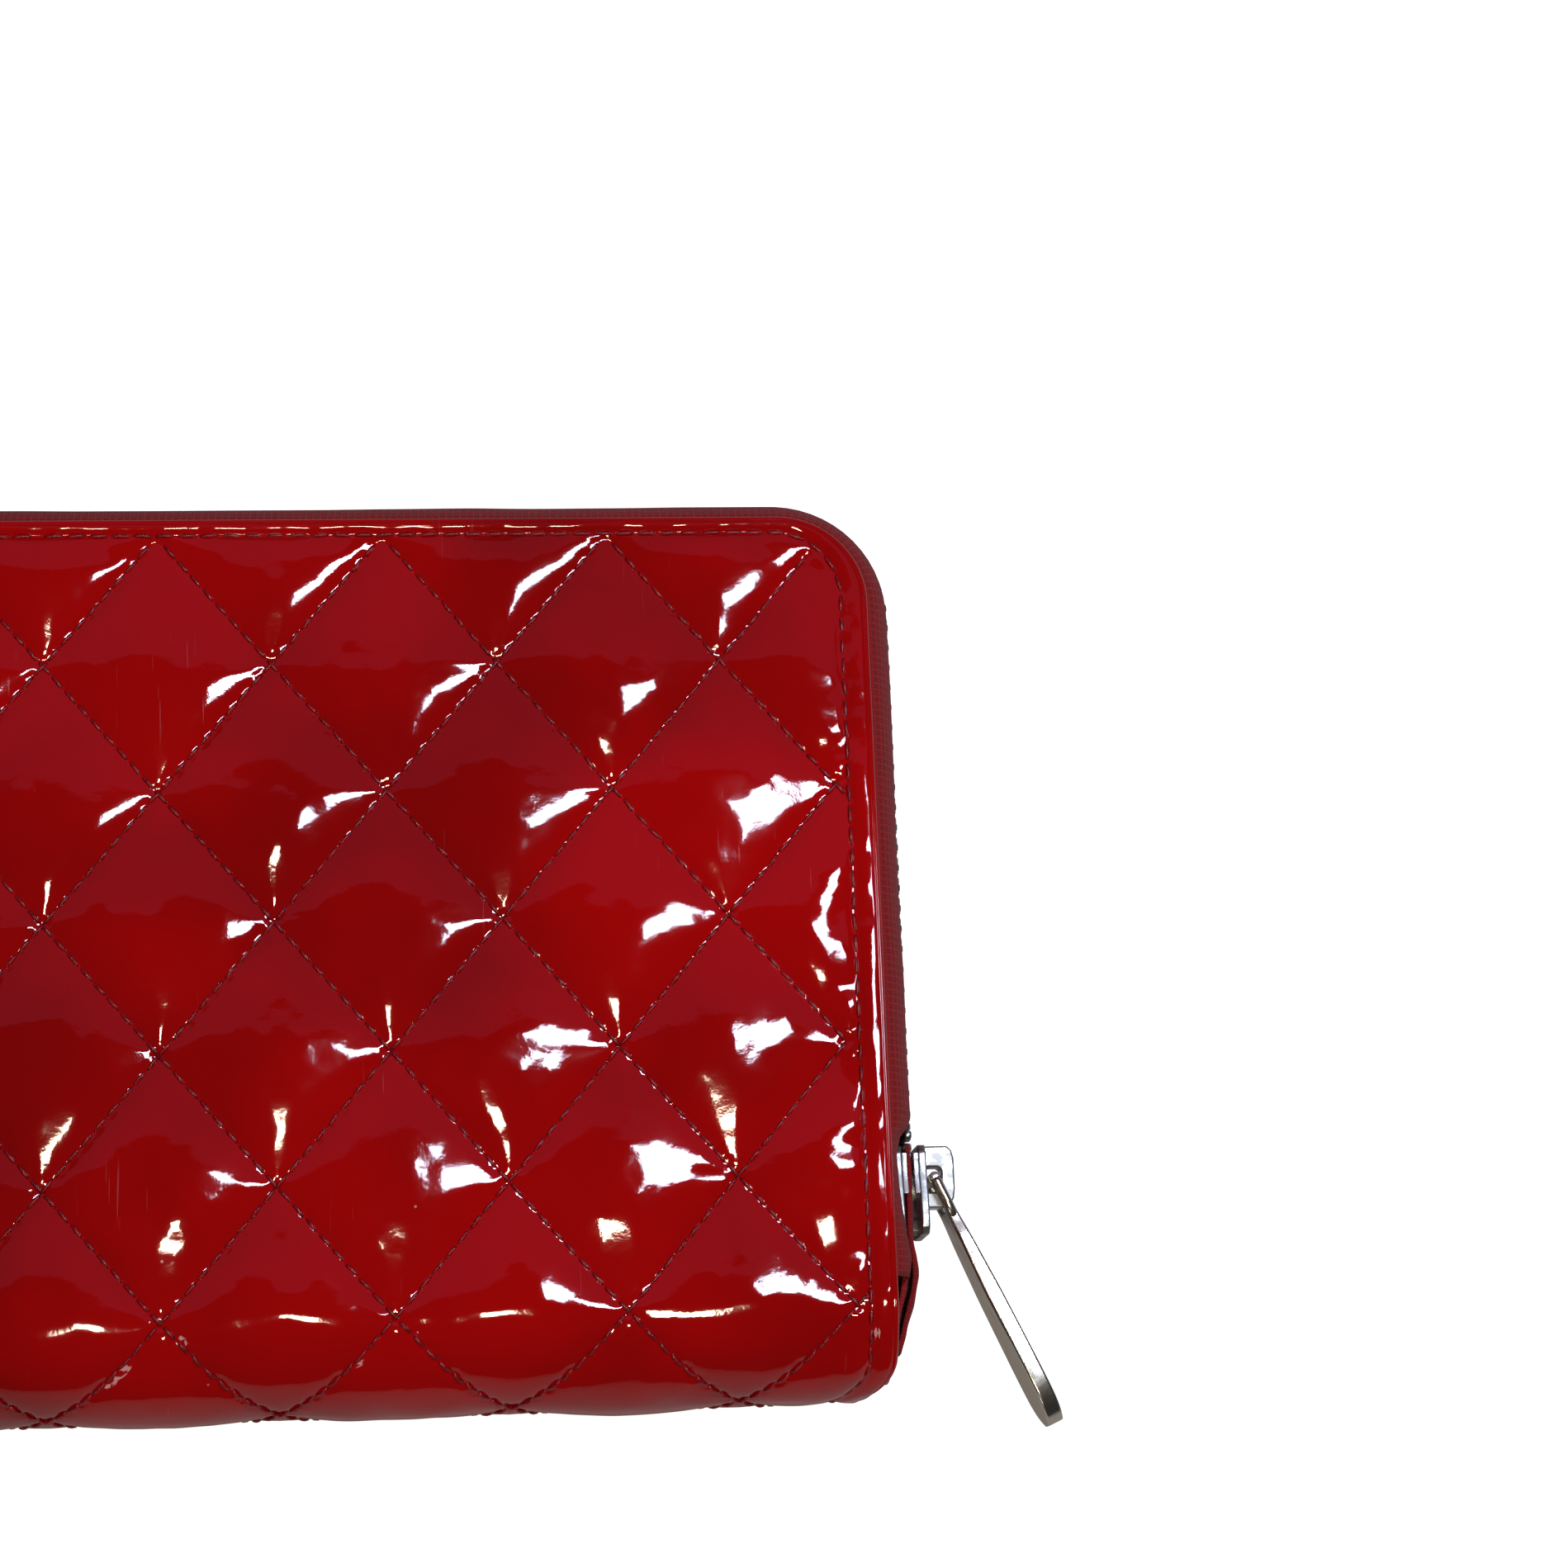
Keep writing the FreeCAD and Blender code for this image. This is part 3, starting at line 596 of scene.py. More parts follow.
class EffectLibrary:
    """Node groups for the effects that several finishes share, each built once."""

    @staticmethod
    def group(name: str, inputs: dict[str, float],
              outputs: Sequence[str]) -> tuple[bpy.types.NodeTree, NodeBench, bpy.types.NodeOutputs]:
        """Start a node group that has a Vector input.

        Args:
            name: the group's name.
            inputs: default of each number that goes in.
            outputs: names of the numbers that come out.

        Returns:
            The group, a bench for it and what goes in, to link from.
        """
        tree = bpy.data.node_groups.new(name, "ShaderNodeTree")
        tree.interface.new_socket(name="Vector", in_out="INPUT", socket_type="NodeSocketVector")
        for label, value in inputs.items():
            socket = tree.interface.new_socket(name=label, in_out="INPUT", socket_type="NodeSocketFloat")
            socket.default_value = value
        for label in outputs:
            tree.interface.new_socket(name=label, in_out="OUTPUT", socket_type="NodeSocketFloat")
        bench = NodeBench(tree)
        return tree, bench, bench.add("NodeGroupInput").outputs

    @classmethod
    @cache
    def lacquer_skin(cls) -> bpy.types.NodeTree:
        """The fine unevenness of a lacquered sheet: orange peel and a slower swell.

        Returns:
            The group, with Vector, Scale and Swell in and Height out.
        """
        tree, bench, given = cls.group("lacquer_skin", {"Scale": 900.0, "Swell": 0.5}, ("Height",))
        swell_scale = bench.math("MULTIPLY", given["Scale"], 0.14)
        peel = bench.noise(given["Vector"], given["Scale"], 3.0, 0.55)
        slow = bench.noise(given["Vector"], swell_scale, 2.0)
        height = bench.math("ADD", peel, bench.math("MULTIPLY", slow, given["Swell"]))
        bench.add("NodeGroupOutput", {"Height": height})
        return tree

    @classmethod
    @cache
    def dust_and_scratches(cls) -> bpy.types.NodeTree:
        """Specks of dust and fine rubbed scratches.

        Returns:
            The group, with Vector and Amount in, and Dust and Scratches out.
        """
        tree, bench, given = cls.group("dust_and_scratches", {"Amount": 1.0}, ("Dust", "Scratches"))
        vector = given["Vector"]
        cell = bench.add("ShaderNodeTexVoronoi", {"Vector": vector, "Scale": 210.0, "Randomness": 1.0})
        dot = bench.math("SUBTRACT", 1.0, bench.band(cell.outputs["Distance"], 0.015, 0.05))
        drawn = bench.add("ShaderNodeSeparateColor", {"Color": cell.outputs["Color"]}).outputs[0]
        speck = bench.math("MULTIPLY", dot, bench.math("GREATER_THAN", drawn, 0.82))
        dust = bench.math("MULTIPLY", speck, given["Amount"], clamp=True)
        lines = 0.0
        for turn, size in ((0.35, 1.0), (1.35, 1.3), (2.4, 0.8)):
            fine = bench.stretched(vector, (2600.0 * size, 90.0 * size, 90.0), turn)
            lines = bench.math("MAXIMUM", lines, bench.band(bench.noise(fine, 1.0, 1.0), 0.73, 0.78))
        patch = bench.band(bench.noise(vector, 45.0, 2.0), 0.56, 0.68)
        rubbed = bench.math("MULTIPLY", patch, given["Amount"])
        scratches = bench.math("MULTIPLY", lines, rubbed, clamp=True)
        bench.add("NodeGroupOutput", {"Dust": dust, "Scratches": scratches})
        return tree

    @classmethod
    @cache
    def weave(cls) -> bpy.types.NodeTree:
        """A plain weave of threads on flat coordinates in millimetres.

        Returns:
            The group, with Vector and Threads in, and Height and Shade out; Shade is painted shade taken from
            the height, lighter on the raised threads and darker in the hollows between them.
        """
        tree, bench, given = cls.group("weave", {"Threads": 3.0}, ("Height", "Shade"))
        split = bench.add("ShaderNodeSeparateXYZ", {"Vector": given["Vector"]}).outputs
        rate = bench.math("MULTIPLY", given["Threads"], math.pi)
        first = bench.math("SINE", bench.math("MULTIPLY", split[0], rate))
        second = bench.math("SINE", bench.math("MULTIPLY", split[1], rate))
        over = bench.math("MULTIPLY", first, second)
        rows = bench.math("ABSOLUTE", bench.math("ADD", first, over))
        columns = bench.math("ABSOLUTE", bench.math("SUBTRACT", second, over))
        fuzz = bench.noise(given["Vector"], 6.0, 3.0, 0.7)
        height = bench.math("ADD", bench.math("MULTIPLY", bench.math("ADD", rows, columns), 0.4), fuzz)
        # Shade is painted shade: the height banded, so raised threads come out lighter and the hollows
        # between them darker; the fuzz in the height adds some random tone.
        bench.add("NodeGroupOutput", {"Height": height, "Shade": bench.band(height, 0.4, 1.5)})
        return tree

    @classmethod
    @cache
    def leather_grain(cls) -> bpy.types.NodeTree:
        """Pebbled grain of smooth leather.

        Returns:
            The group, with Vector and Scale in, and Height and Shade out.
        """
        tree, bench, given = cls.group("leather_grain", {"Scale": 1400.0}, ("Height", "Shade"))
        pebble = bench.add("ShaderNodeTexVoronoi", {"Vector": given["Vector"], "Scale": given["Scale"]},
                           feature="SMOOTH_F1").outputs["Distance"]
        fold = bench.noise(given["Vector"], 130.0, 4.0, 0.6)
        height = bench.math("ADD", pebble, bench.math("MULTIPLY", fold, 0.6))
        shade = bench.band(bench.noise(given["Vector"], 35.0, 3.0), 0.3, 0.7)
        bench.add("NodeGroupOutput", {"Height": height, "Shade": shade})
        return tree

    @classmethod
    @cache
    def worn_plating(cls) -> bpy.types.NodeTree:
        """Pits, handling marks and dulled patches of plated metal.

        Returns:
            The group, with Vector and Wear in, and Height, Dull and Pits out.
        """
        tree, bench, given = cls.group("worn_plating", {"Wear": 1.0}, ("Height", "Dull", "Pits"))
        vector = given["Vector"]
        mottle = bench.noise(vector, 420.0, 4.0, 0.65)
        dull = bench.math("MULTIPLY", bench.band(mottle, 0.38, 0.68), given["Wear"], clamp=True)
        cell = bench.add("ShaderNodeTexVoronoi", {"Vector": vector, "Scale": 1500.0})
        pit = bench.math("SUBTRACT", 1.0, bench.band(cell.outputs["Distance"], 0.05, 0.24))
        pits = bench.math("MULTIPLY", pit, bench.band(bench.noise(vector, 300.0, 2.0), 0.5, 0.62))
        height = bench.math("SUBTRACT", bench.math("MULTIPLY", mottle, 0.5), pits)
        bench.add("NodeGroupOutput", {"Height": height, "Dull": dull, "Pits": pits})
        return tree


# ------------------------------------------------------------------ finishes

@dataclass(frozen=True)
class Finish:
    """A finish: it makes its material the first time and hands out the same one after that."""

    name: str

    def material(self) -> bpy.types.Material:
        """The finish as a material.

        Returns:
            The material.
        """
        found = bpy.data.materials.get(self.name)
        if found:
            return found
        made = bpy.data.materials.new(self.name)
        made.use_nodes = True
        bench = NodeBench(made.node_tree)
        shader = bench.add("ShaderNodeBsdfPrincipled", self.sockets(bench))
        bench.add("ShaderNodeOutputMaterial", {"Surface": shader.outputs[0]})
        return made

    def sockets(self, bench: NodeBench) -> dict[str, object]:
        """Value or output socket for the shader's inputs; each finish has its own."""
        raise NotImplementedError


@dataclass(frozen=True)
class PatentLeather(Finish):
    """Lacquered leather: deep red under a hard gloss, with orange peel, dust and fine scratches."""

    deep: tuple = (0.33, 0.0001, 0.0006, 1.0)
    bright: tuple = (0.53, 0.0002, 0.0008, 1.0)
    mark: tuple = (0.62, 0.30, 0.30, 1.0)
    gloss: float = 0.05
    wear: float = 1.0

    def sockets(self, bench: NodeBench) -> dict[str, object]:
        """What feeds the shader.

        Args:
            bench: adds nodes to the material.

        Returns:
            Value or output socket for the shader's inputs.
        """
        place = bench.place()
        skin = bench.effect(EffectLibrary.lacquer_skin(), {"Vector": place, "Swell": 2.2})
        marks = bench.effect(EffectLibrary.dust_and_scratches(), {"Vector": place, "Amount": self.wear})
        base = bench.mix(bench.band(bench.noise(place, 26.0, 3.0), 0.32, 0.7), self.deep, self.bright)
        faint = bench.math("MULTIPLY", marks["Scratches"], 0.35)
        marked = bench.math("ADD", marks["Dust"], faint, clamp=True)
        colour = bench.mix(bench.math("MULTIPLY", marked, 0.55), base, self.mark)
        dull = bench.math("MULTIPLY", bench.band(bench.noise(place, 60.0, 3.0), 0.45, 0.8), 0.03)
        rough = bench.math("ADD", bench.math("ADD", dull, self.gloss),
                           bench.math("MULTIPLY", marked, 0.25))
        return {"Base Color": colour, "Roughness": rough, "IOR": 1.5, "Specular IOR Level": 0.62,
                "Normal": bench.bump(skin["Height"], 0.02, 0.55)}


@dataclass(frozen=True)
class PlainLeather(Finish):
    """Smooth, faintly grained lining leather."""

    dark: tuple = (0.10, 0.001, 0.003, 1.0)
    light: tuple = (0.19, 0.003, 0.007, 1.0)
    roughness: float = 0.42

    def sockets(self, bench: NodeBench) -> dict[str, object]:
        """What feeds the shader.

        Args:
            bench: adds nodes to the material.

        Returns:
            Value or output socket for the shader's inputs.
        """
        grain = bench.effect(EffectLibrary.leather_grain(), {"Vector": bench.place()})
        worn = bench.math("MULTIPLY", grain["Shade"], 0.12)
        return {"Base Color": bench.mix(grain["Shade"], self.dark, self.light),
                "Roughness": bench.math("ADD", worn, self.roughness),
                "Normal": bench.bump(grain["Height"], 0.06, 0.5)}


@dataclass(frozen=True)
class WovenCloth(Finish):
    """Woven cloth: zip tape or pocket lining, on flat coordinates in millimetres."""

    # dark is the cloth's red in painted shade between the threads, light its red on the raised threads; the
    # weave's Shade mixes them.
    dark: tuple = (0.20, 0.0008, 0.002, 1.0)
    light: tuple = (0.46, 0.003, 0.008, 1.0)
    threads: float = 2.4
    sheen: float = 0.08

    def sockets(self, bench: NodeBench) -> dict[str, object]:
        """What feeds the shader.

        Args:
            bench: adds nodes to the material.

        Returns:
            Value or output socket for the shader's inputs.
        """
        flat = bench.add("ShaderNodeUVMap", uv_map="flat").outputs["UV"]
        cloth = bench.effect(EffectLibrary.weave(), {"Vector": flat, "Threads": self.threads})
        # The colour follows the weave's Shade: painted shade, darker in the hollows between the threads.
        return {"Base Color": bench.mix(cloth["Shade"], self.dark, self.light), "Roughness": 0.82,
                "Sheen Weight": self.sheen, "Normal": bench.bump(cloth["Height"], 0.12, 0.8)}


@dataclass(frozen=True)
class SewingThread(Finish):
    """Twisted polyester thread with a soft sheen."""

    dark: tuple = (0.13, 0.0012, 0.004, 1.0)
    light: tuple = (0.44, 0.010, 0.020, 1.0)

    def sockets(self, bench: NodeBench) -> dict[str, object]:
        """What feeds the shader.

        Args:
            bench: adds nodes to the material.

        Returns:
            Value or output socket for the shader's inputs.
        """
        twisted = bench.stretched(bench.place(), (5200.0, 2400.0, 2400.0), 0.8)
        ply = bench.band(bench.noise(twisted, 1.0, 2.0), 0.3, 0.7)
        return {"Base Color": bench.mix(ply, self.dark, self.light), "Roughness": 0.3,
                "Specular IOR Level": 0.6, "Normal": bench.bump(ply, 0.04, 0.7)}


@dataclass(frozen=True)
class PlatedMetal(Finish):
    """Silver-tone plating, worn and slightly pitted."""

    clean: tuple = (0.58, 0.59, 0.60, 1.0)
    tarnished: tuple = (0.26, 0.24, 0.23, 1.0)
    roughness: float = 0.16
    wear: float = 0.8

    def sockets(self, bench: NodeBench) -> dict[str, object]:
        """What feeds the shader.

        Args:
            bench: adds nodes to the material.

        Returns:
            Value or output socket for the shader's inputs.
        """
        worn = bench.effect(EffectLibrary.worn_plating(), {"Vector": bench.place(), "Wear": self.wear})
        spoiled = bench.math("MAXIMUM", bench.math("MULTIPLY", worn["Dull"], 0.45), worn["Pits"])
        rough = bench.math("ADD", bench.math("MULTIPLY", worn["Dull"], 0.22), self.roughness)
        return {"Base Color": bench.mix(spoiled, self.clean, self.tarnished), "Roughness": rough,
                "Metallic": 1.0, "Normal": bench.bump(worn["Height"], 0.05, 0.35)}


@dataclass(frozen=True)
class FibreBoard(Finish):
    """Pressed fibre board of the stiffeners."""

    dark: tuple = (0.23, 0.18, 0.13, 1.0)
    light: tuple = (0.42, 0.35, 0.27, 1.0)

    def sockets(self, bench: NodeBench) -> dict[str, object]:
        """What feeds the shader.

        Args:
            bench: adds nodes to the material.

        Returns:
            Value or output socket for the shader's inputs.
        """
        pressed = bench.stretched(bench.place(), (900.0, 240.0, 400.0), 0.5)
        fibre = bench.noise(pressed, 1.0, 4.0, 0.7)
        return {"Base Color": bench.mix(bench.band(fibre, 0.3, 0.7), self.dark, self.light),
                "Roughness": 0.9, "Normal": bench.bump(fibre, 0.05, 0.6)}


@dataclass(frozen=True)
class PalePaper(Finish):
    """The studio's pale floor, which shines on its own only where it is seen directly."""

    tone: tuple = (0.55, 0.54, 0.53, 1.0)
    seen_glow: tuple = (1.0, 1.0, 1.0, 1.0)
    cast_glow: tuple = (0.04, 0.04, 0.04, 1.0)
    glow: float = 0.9

    def sockets(self, bench: NodeBench) -> dict[str, object]:
        """What feeds the shader.

        Args:
            bench: adds nodes to the material.

        Returns:
            Value or output socket for the shader's inputs.
        """
        seen = bench.add("ShaderNodeLightPath").outputs["Is Camera Ray"]
        return {"Base Color": self.tone, "Roughness": 0.95, "Specular IOR Level": 0.1,
                "Emission Color": bench.mix(seen, self.cast_glow, self.seen_glow),
                "Emission Strength": self.glow}


class Finishes:
    """The finishes that this wallet is made of."""

    patent = PatentLeather("red_patent_leather")
    lining = PlainLeather("red_lining_leather")
    pocket = PlainLeather("red_pocket_leather", roughness=0.36)
    tape = WovenCloth("red_zip_tape")
    cloth = WovenCloth("red_pocket_lining", threads=3.2, sheen=0.2)
    thread = SewingThread("red_thread")
    plating = PlatedMetal("worn_silver_plating", roughness=0.25, wear=1.7)
    pull = PlatedMetal("warm_silver_plating", clean=(0.70, 0.66, 0.57, 1.0),
                       tarnished=(0.34, 0.31, 0.27, 1.0), roughness=0.17, wear=0.45)
    teeth = PlatedMetal("zip_teeth_metal", roughness=0.22)
    board = FibreBoard("stiffener_board")
    paper = PalePaper("pale_floor")


# ------------------------------------------------------------------ the wallet's form

@dataclass(frozen=True)
class WalletForm:
    """Outline and folded surface of the wallet, in millimetres, read from the frame."""

    half_width: float
    top: float
    hinge: float
    thickness: float
    chain_offset: float
    corner_radius: float = 10.7
    spine_corner: float = 4.0

    @classmethod
    def from_frame(cls) -> "WalletForm":
        """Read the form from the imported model.

        Returns:
            The form.
        """
        low, high = box_mm("front_outer_panel")
        stop_low, stop_high = box_mm("zip_start_stop")
        return cls(half_width=high.x, top=high.y, hinge=low.y, thickness=high.z,
                   chain_offset=-(stop_low.x + stop_high.x) / 2 - high.x)

    @property
    def spine_radius(self) -> float:
        """Radius of the round spine."""
        return self.thickness / 2

    @property
    def flat(self) -> float:
        """Length of a cover from its top edge to the spine."""
        return self.top - self.hinge

    @property
    def spine_middle(self) -> float:
        """Distance down from the front's top edge to the middle of the spine."""
        return self.flat + self.spine_radius * QUARTER_TURN

    @property
    def length(self) -> float:
        """Whole unrolled length, from the front's top edge to the back's."""
        return 2 * self.spine_middle

    def spine_narrowing(self, down: np.ndarray) -> np.ndarray:
        """How much the outline draws in at the round corners of the spine.

        Args:
            down: unrolled distance.

        Returns:
            The narrowing at each side.
        """
        angle = np.clip((down - self.flat) / self.spine_radius, 0, math.pi)
        into = np.clip(self.spine_radius * (np.sin(angle) - 1) + self.spine_corner, 0, self.spine_corner)
        return self.spine_corner - np.sqrt(self.spine_corner ** 2 - into ** 2)

    def place(self, x: np.ndarray, down: np.ndarray, height: np.ndarray) -> np.ndarray:
        """Fold unrolled points to their place on the wallet.

        Args:
            x: distance along the wallet.
            down: unrolled distance from the front's top edge.
            height: height above the nominal outer face.

        Returns:
            Points of the wallet.
        """
        x, down, height = np.broadcast_arrays(*(np.asarray(item, float) for item in (x, down, height)))
        radius = self.spine_radius
        angle = np.clip((down - self.flat) / radius, 0, math.pi)
        before = np.minimum(down - self.flat, 0)
        after = np.maximum(down - self.flat - math.pi * radius, 0)
        across = self.hinge - (radius + height) * np.sin(angle) - before + after
        level = radius + (radius + height) * np.cos(angle)
        return np.stack([x, across, level], axis=-1)

    def bend_round_spine(self, piece: bpy.types.Object, cover: Cover) -> None:
        """Bake a piece's place into its mesh; the piece is not bent, and both covers are treated alike.

        Args:
            piece: the piece.
            cover: the cover that it is on.
        """
        if cover is Cover.FRONT:
            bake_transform(piece)
        else:
            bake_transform(piece)

    def rim_corners(self, offset: float, start: float) -> np.ndarray:
        """Distances along the outline at which its two corners start and end.

        Args:
            offset: distance outside the outline.
            start: height along Y where the right side starts.

        Returns:
            The four distances.
        """
        side, arc = self.top - self.corner_radius - start, (self.corner_radius + offset) * QUARTER_TURN
        return np.cumsum([side, arc, 2 * (self.half_width - self.corner_radius), arc])

    def rim(self, offset: float, start: float, stop: float, step: float,
            ) -> tuple[np.ndarray, np.ndarray, np.ndarray]:
        """Points along the covers' outline, from the right end over the top to the left end.

        Args:
            offset: distance outside the outline.
            start: height along Y where the right side starts.
            stop: height along Y where the left side ends.
            step: spacing of the points.

        Returns:
            Points, outward directions and the distance along for each, the points in the XY plane.
        """
        total = self.rim_corners(offset, start)[-1] + self.top - self.corner_radius - stop
        along = np.linspace(0, total, max(2, int(total / step) + 1))
        return (*self.rim_at(offset, along, start), along)

    def rim_at(self, offset: float, along: np.ndarray, start: float) -> tuple[np.ndarray, np.ndarray]:
        """Points and outward directions at given distances along the outline.

        Args:
            offset: distance outside the outline.
            along: the distances.
            start: height along Y where the right side starts.

        Returns:
            Points and outward directions, in the XY plane.
        """
        radius = self.corner_radius + offset
        inner_x, inner_y = self.half_width - self.corner_radius, self.top - self.corner_radius
        corners = self.rim_corners(offset, start)
        first = np.clip((along - corners[0]) / (radius * QUARTER_TURN), 0, 1)
        second = np.clip((along - corners[2]) / (radius * QUARTER_TURN), 0, 1)
        angle = (first + second) * QUARTER_TURN
        normal = np.stack([np.cos(angle), np.sin(angle)], axis=-1)
        centre_x = inner_x - np.clip(along - corners[1], 0, 2 * inner_x)
        centre_y = np.where(along < corners[0], start + along, inner_y) \
            - np.clip(along - corners[3], 0, None)
        return np.stack([centre_x, centre_y], axis=-1) + radius * normal, normal


def fade(distance: np.ndarray, reach: float) -> np.ndarray:
    """A share that falls steeply from 1 and is nearly gone at three times its reach."""
    return np.exp(-distance / reach)


def bell(distance: np.ndarray, width: float) -> np.ndarray:
    """A share that is 1 on a line and falls off smoothly to both sides of it."""
    return np.exp(-(distance / width) ** 2)


@dataclass(frozen=True)
class Quilting:
    """The quilted relief: diamonds between two families of stitch lines, and the border seam."""

    form: WalletForm
    half_x: float = 13.3
    half_down: float = 15.5
    first_row: float = 2.2
    loft: float = 1.85
    fullest: float = 1.06
    spine_share: float = 0.4
    edge_level: float = -0.95
    stitch: float = 2.3
    side_seam: float = 3.3
    top_seam: float = 2.1
    seam_corner: float = 8.0
    seam_pull: float = 2.3
    groove: float = 0.45
    pucker_reach: float = 10.0
    seed: int = 11

    @property
    def run(self) -> float:
        """Length of a stitch line between two crossings."""
        return math.hypot(self.half_x, self.half_down)

    @property
    def line_gap(self) -> float:
        """Distance between neighbouring stitch lines of one family."""
        return 2 * self.half_x * self.half_down / self.run

    def lattice(self, x: np.ndarray, down: np.ndarray) -> tuple[np.ndarray, np.ndarray]:
        """Lattice coordinates: whole numbers lie on stitch lines.

        Args:
            x: distance along the wallet.
            down: unrolled distance.

        Returns:
            A coordinate across each family of lines.
        """
        across = x / self.half_x - 1
        along = (down - self.first_row) / self.half_down
        return (across + along) / 2, (across - along) / 2

    def line_distance(self, coordinate: np.ndarray) -> np.ndarray:
        """Distance from the nearest stitch line of one family, from its lattice coordinate."""
        return np.abs(coordinate - np.round(coordinate)) * self.line_gap

    def seam_distance(self, x: np.ndarray, down: np.ndarray) -> np.ndarray:
        """Distance inside the border seam; negative outside it.

        Args:
            x: distance along the wallet.
            down: unrolled distance.

        Returns:
            The distances.
        """
        from_end = np.minimum(down, self.form.length - down) - self.top_seam
        from_side = self.form.half_width - self.form.spine_narrowing(down) - self.side_seam - np.abs(x)
        radius = self.seam_corner
        both = (from_end < radius) & (from_side < radius)
        corner = radius - np.hypot(radius - from_side, radius - from_end)
        return np.where(both, corner, np.minimum(from_side, from_end))

    def cushion(self, distance: np.ndarray) -> np.ndarray:
        """Rise of the leather away from a stitch line: a wide swell and a steep start.

        Args:
            distance: distance from the line.

        Returns:
            The rise, from 0 to 1.
        """
        wide = 1 - (1 - np.clip(distance / (self.line_gap / 2), 0, 1)) ** 2
        near = 1 - fade(np.sqrt(distance ** 2 + 0.09), 1.5)
        return 0.68 * wide + 0.32 * near

    def local_loft(self, down: np.ndarray) -> np.ndarray:
        """Depth of the quilting, which is shallower round the spine."""
        share = np.clip((27 - np.abs(down - self.form.spine_middle)) / 12, 0, 1)
        return self.loft * (1 - (1 - self.spine_share) * smooth_step(share))

    def lean(self, first: np.ndarray, second: np.ndarray) -> tuple[np.ndarray, np.ndarray]:
        """Uneven filling of the diamonds: each leans its own way and has its own loft.

        Args:
            first: first lattice coordinate.
            second: second lattice coordinate.

        Returns:
            The added height and the loft's factor.
        """
        table = np.random.default_rng(self.seed + 9).uniform(-1, 1, (3, NOISE_CELLS, NOISE_CELLS))
        row, column = np.floor(first).astype(int), np.floor(second).astype(int)
        drawn = table[:, row % NOISE_CELLS, column % NOISE_CELLS]
        side, ahead = first - row - 0.5, second - column - 0.5
        return drawn[0] * 0.55 * side + drawn[1] * 0.55 * ahead, 1 + 0.14 * drawn[2]

    def puckers(self, x: np.ndarray, down: np.ndarray) -> np.ndarray:
        """Small folds that run out from the crossings of the stitch lines, two to each quarter.

        Args:
            x: distance along the wallet.
            down: unrolled distance.

        Returns:
            Their heights.
        """
        dice = np.random.default_rng(self.seed)
        folds = np.zeros_like(x)
        rows = int(self.form.length / self.half_down) + 1
        columns = int(self.form.half_width / self.half_x) + 1
        crossings = [(row, column) for row in range(rows) for column in range(-columns, columns + 1)
                     if (row + column) % 2]
        for row, column in crossings:
            near = (x - column * self.half_x, down - self.first_row - row * self.half_down)
            away = np.hypot(*near)
            close = away < self.pucker_reach
            turn = np.arctan2(near[1][close], near[0][close])
            span = away[close]
            for quarter in (0, 0, 1, 1, 2, 2, 3, 3):
                middle = quarter * QUARTER_TURN + dice.normal(0, 0.16)
                width, reach = dice.uniform(0.08, 0.2), dice.uniform(2.2, 4.6)
                swing = (turn - middle + math.pi) % FULL_TURN - math.pi
                lift = dice.uniform(-0.5, 1.0) * 0.2
                folds[close] += lift * bell(swing, width) * fade(span, reach) * (1 - bell(span, 0.9))
        return folds

    def pillows(self, x: np.ndarray, down: np.ndarray, inside: np.ndarray) -> np.ndarray:
        """Height of the cushions, drawn down towards the border seam.

        Args:
            x: distance along the wallet.
            down: unrolled distance.
            inside: distance inside the border seam.

        Returns:
            The heights.
        """
        first, second = self.lattice(x, down)
        rise = self.cushion(self.line_distance(first)) * self.cushion(self.line_distance(second))
        uneven = 0.94 + 0.06 * soft_noise(x, down, 13.0, self.seed + 1)
        leaning, filling = self.lean(first, second)
        depth, held = self.local_loft(down), fade(inside, self.seam_pull)
        height = -depth * (1 - rise * np.minimum(uneven * filling, self.fullest)) * (1 - held)
        height += self.edge_level * held + leaning * rise * rise * (1 - held) * depth / self.loft
        height += 0.17 * soft_noise(x, down, 5.5, self.seed + 2) * rise
        return height + 0.035 * soft_noise(x, down, 2.1, self.seed + 3)

    def seam_creases(self, x: np.ndarray, down: np.ndarray, inside: np.ndarray) -> np.ndarray:
        """Creases that run in from the border seam, and the seam's own groove.

        Args:
            x: distance along the wallet.
            down: unrolled distance.
            inside: distance inside the border seam.

        Returns:
            Their heights.
        """
        crease = soft_noise(x / 3.2, down, 2.4, self.seed + 4) * fade(inside, 2.2)
        return 0.32 * crease * (1 - fade(inside, 0.5)) - 0.15 * bell(inside, 0.55)

    def stitch_dents(self, x: np.ndarray, down: np.ndarray) -> np.ndarray:
        """Depth of the grooves along the stitch lines, deepest at the needle's holes.

        Args:
            x: distance along the wallet.
            down: unrolled distance.

        Returns:
            The depths.
        """
        first, second = self.lattice(x, down)
        stitches = (down - self.first_row) / self.half_down * self.run / self.stitch
        hole = 0.5 - 0.5 * np.cos(FULL_TURN * stitches)
        pinch = bell(self.line_distance(first), self.groove) + bell(self.line_distance(second), self.groove)
        return (0.06 + 0.24 * hole) * pinch

    def border(self, x: np.ndarray, down: np.ndarray, seam: np.ndarray) -> np.ndarray:
        """Height of the narrow strip outside the border seam.

        Args:
            x: distance along the wallet.
            down: unrolled distance.
            seam: distance from the seam.

        Returns:
            The heights.
        """
        strip = -0.92 + 0.26 * (1 - bell(seam, 0.8)) - 0.33 * bell(seam, self.groove)
        strip = strip + 0.07 * soft_noise(x / 1.4, down / 1.4, 1.3, self.seed + 5)
        return strip + 0.09 * soft_noise(x, down, 4.5, self.seed + 6)

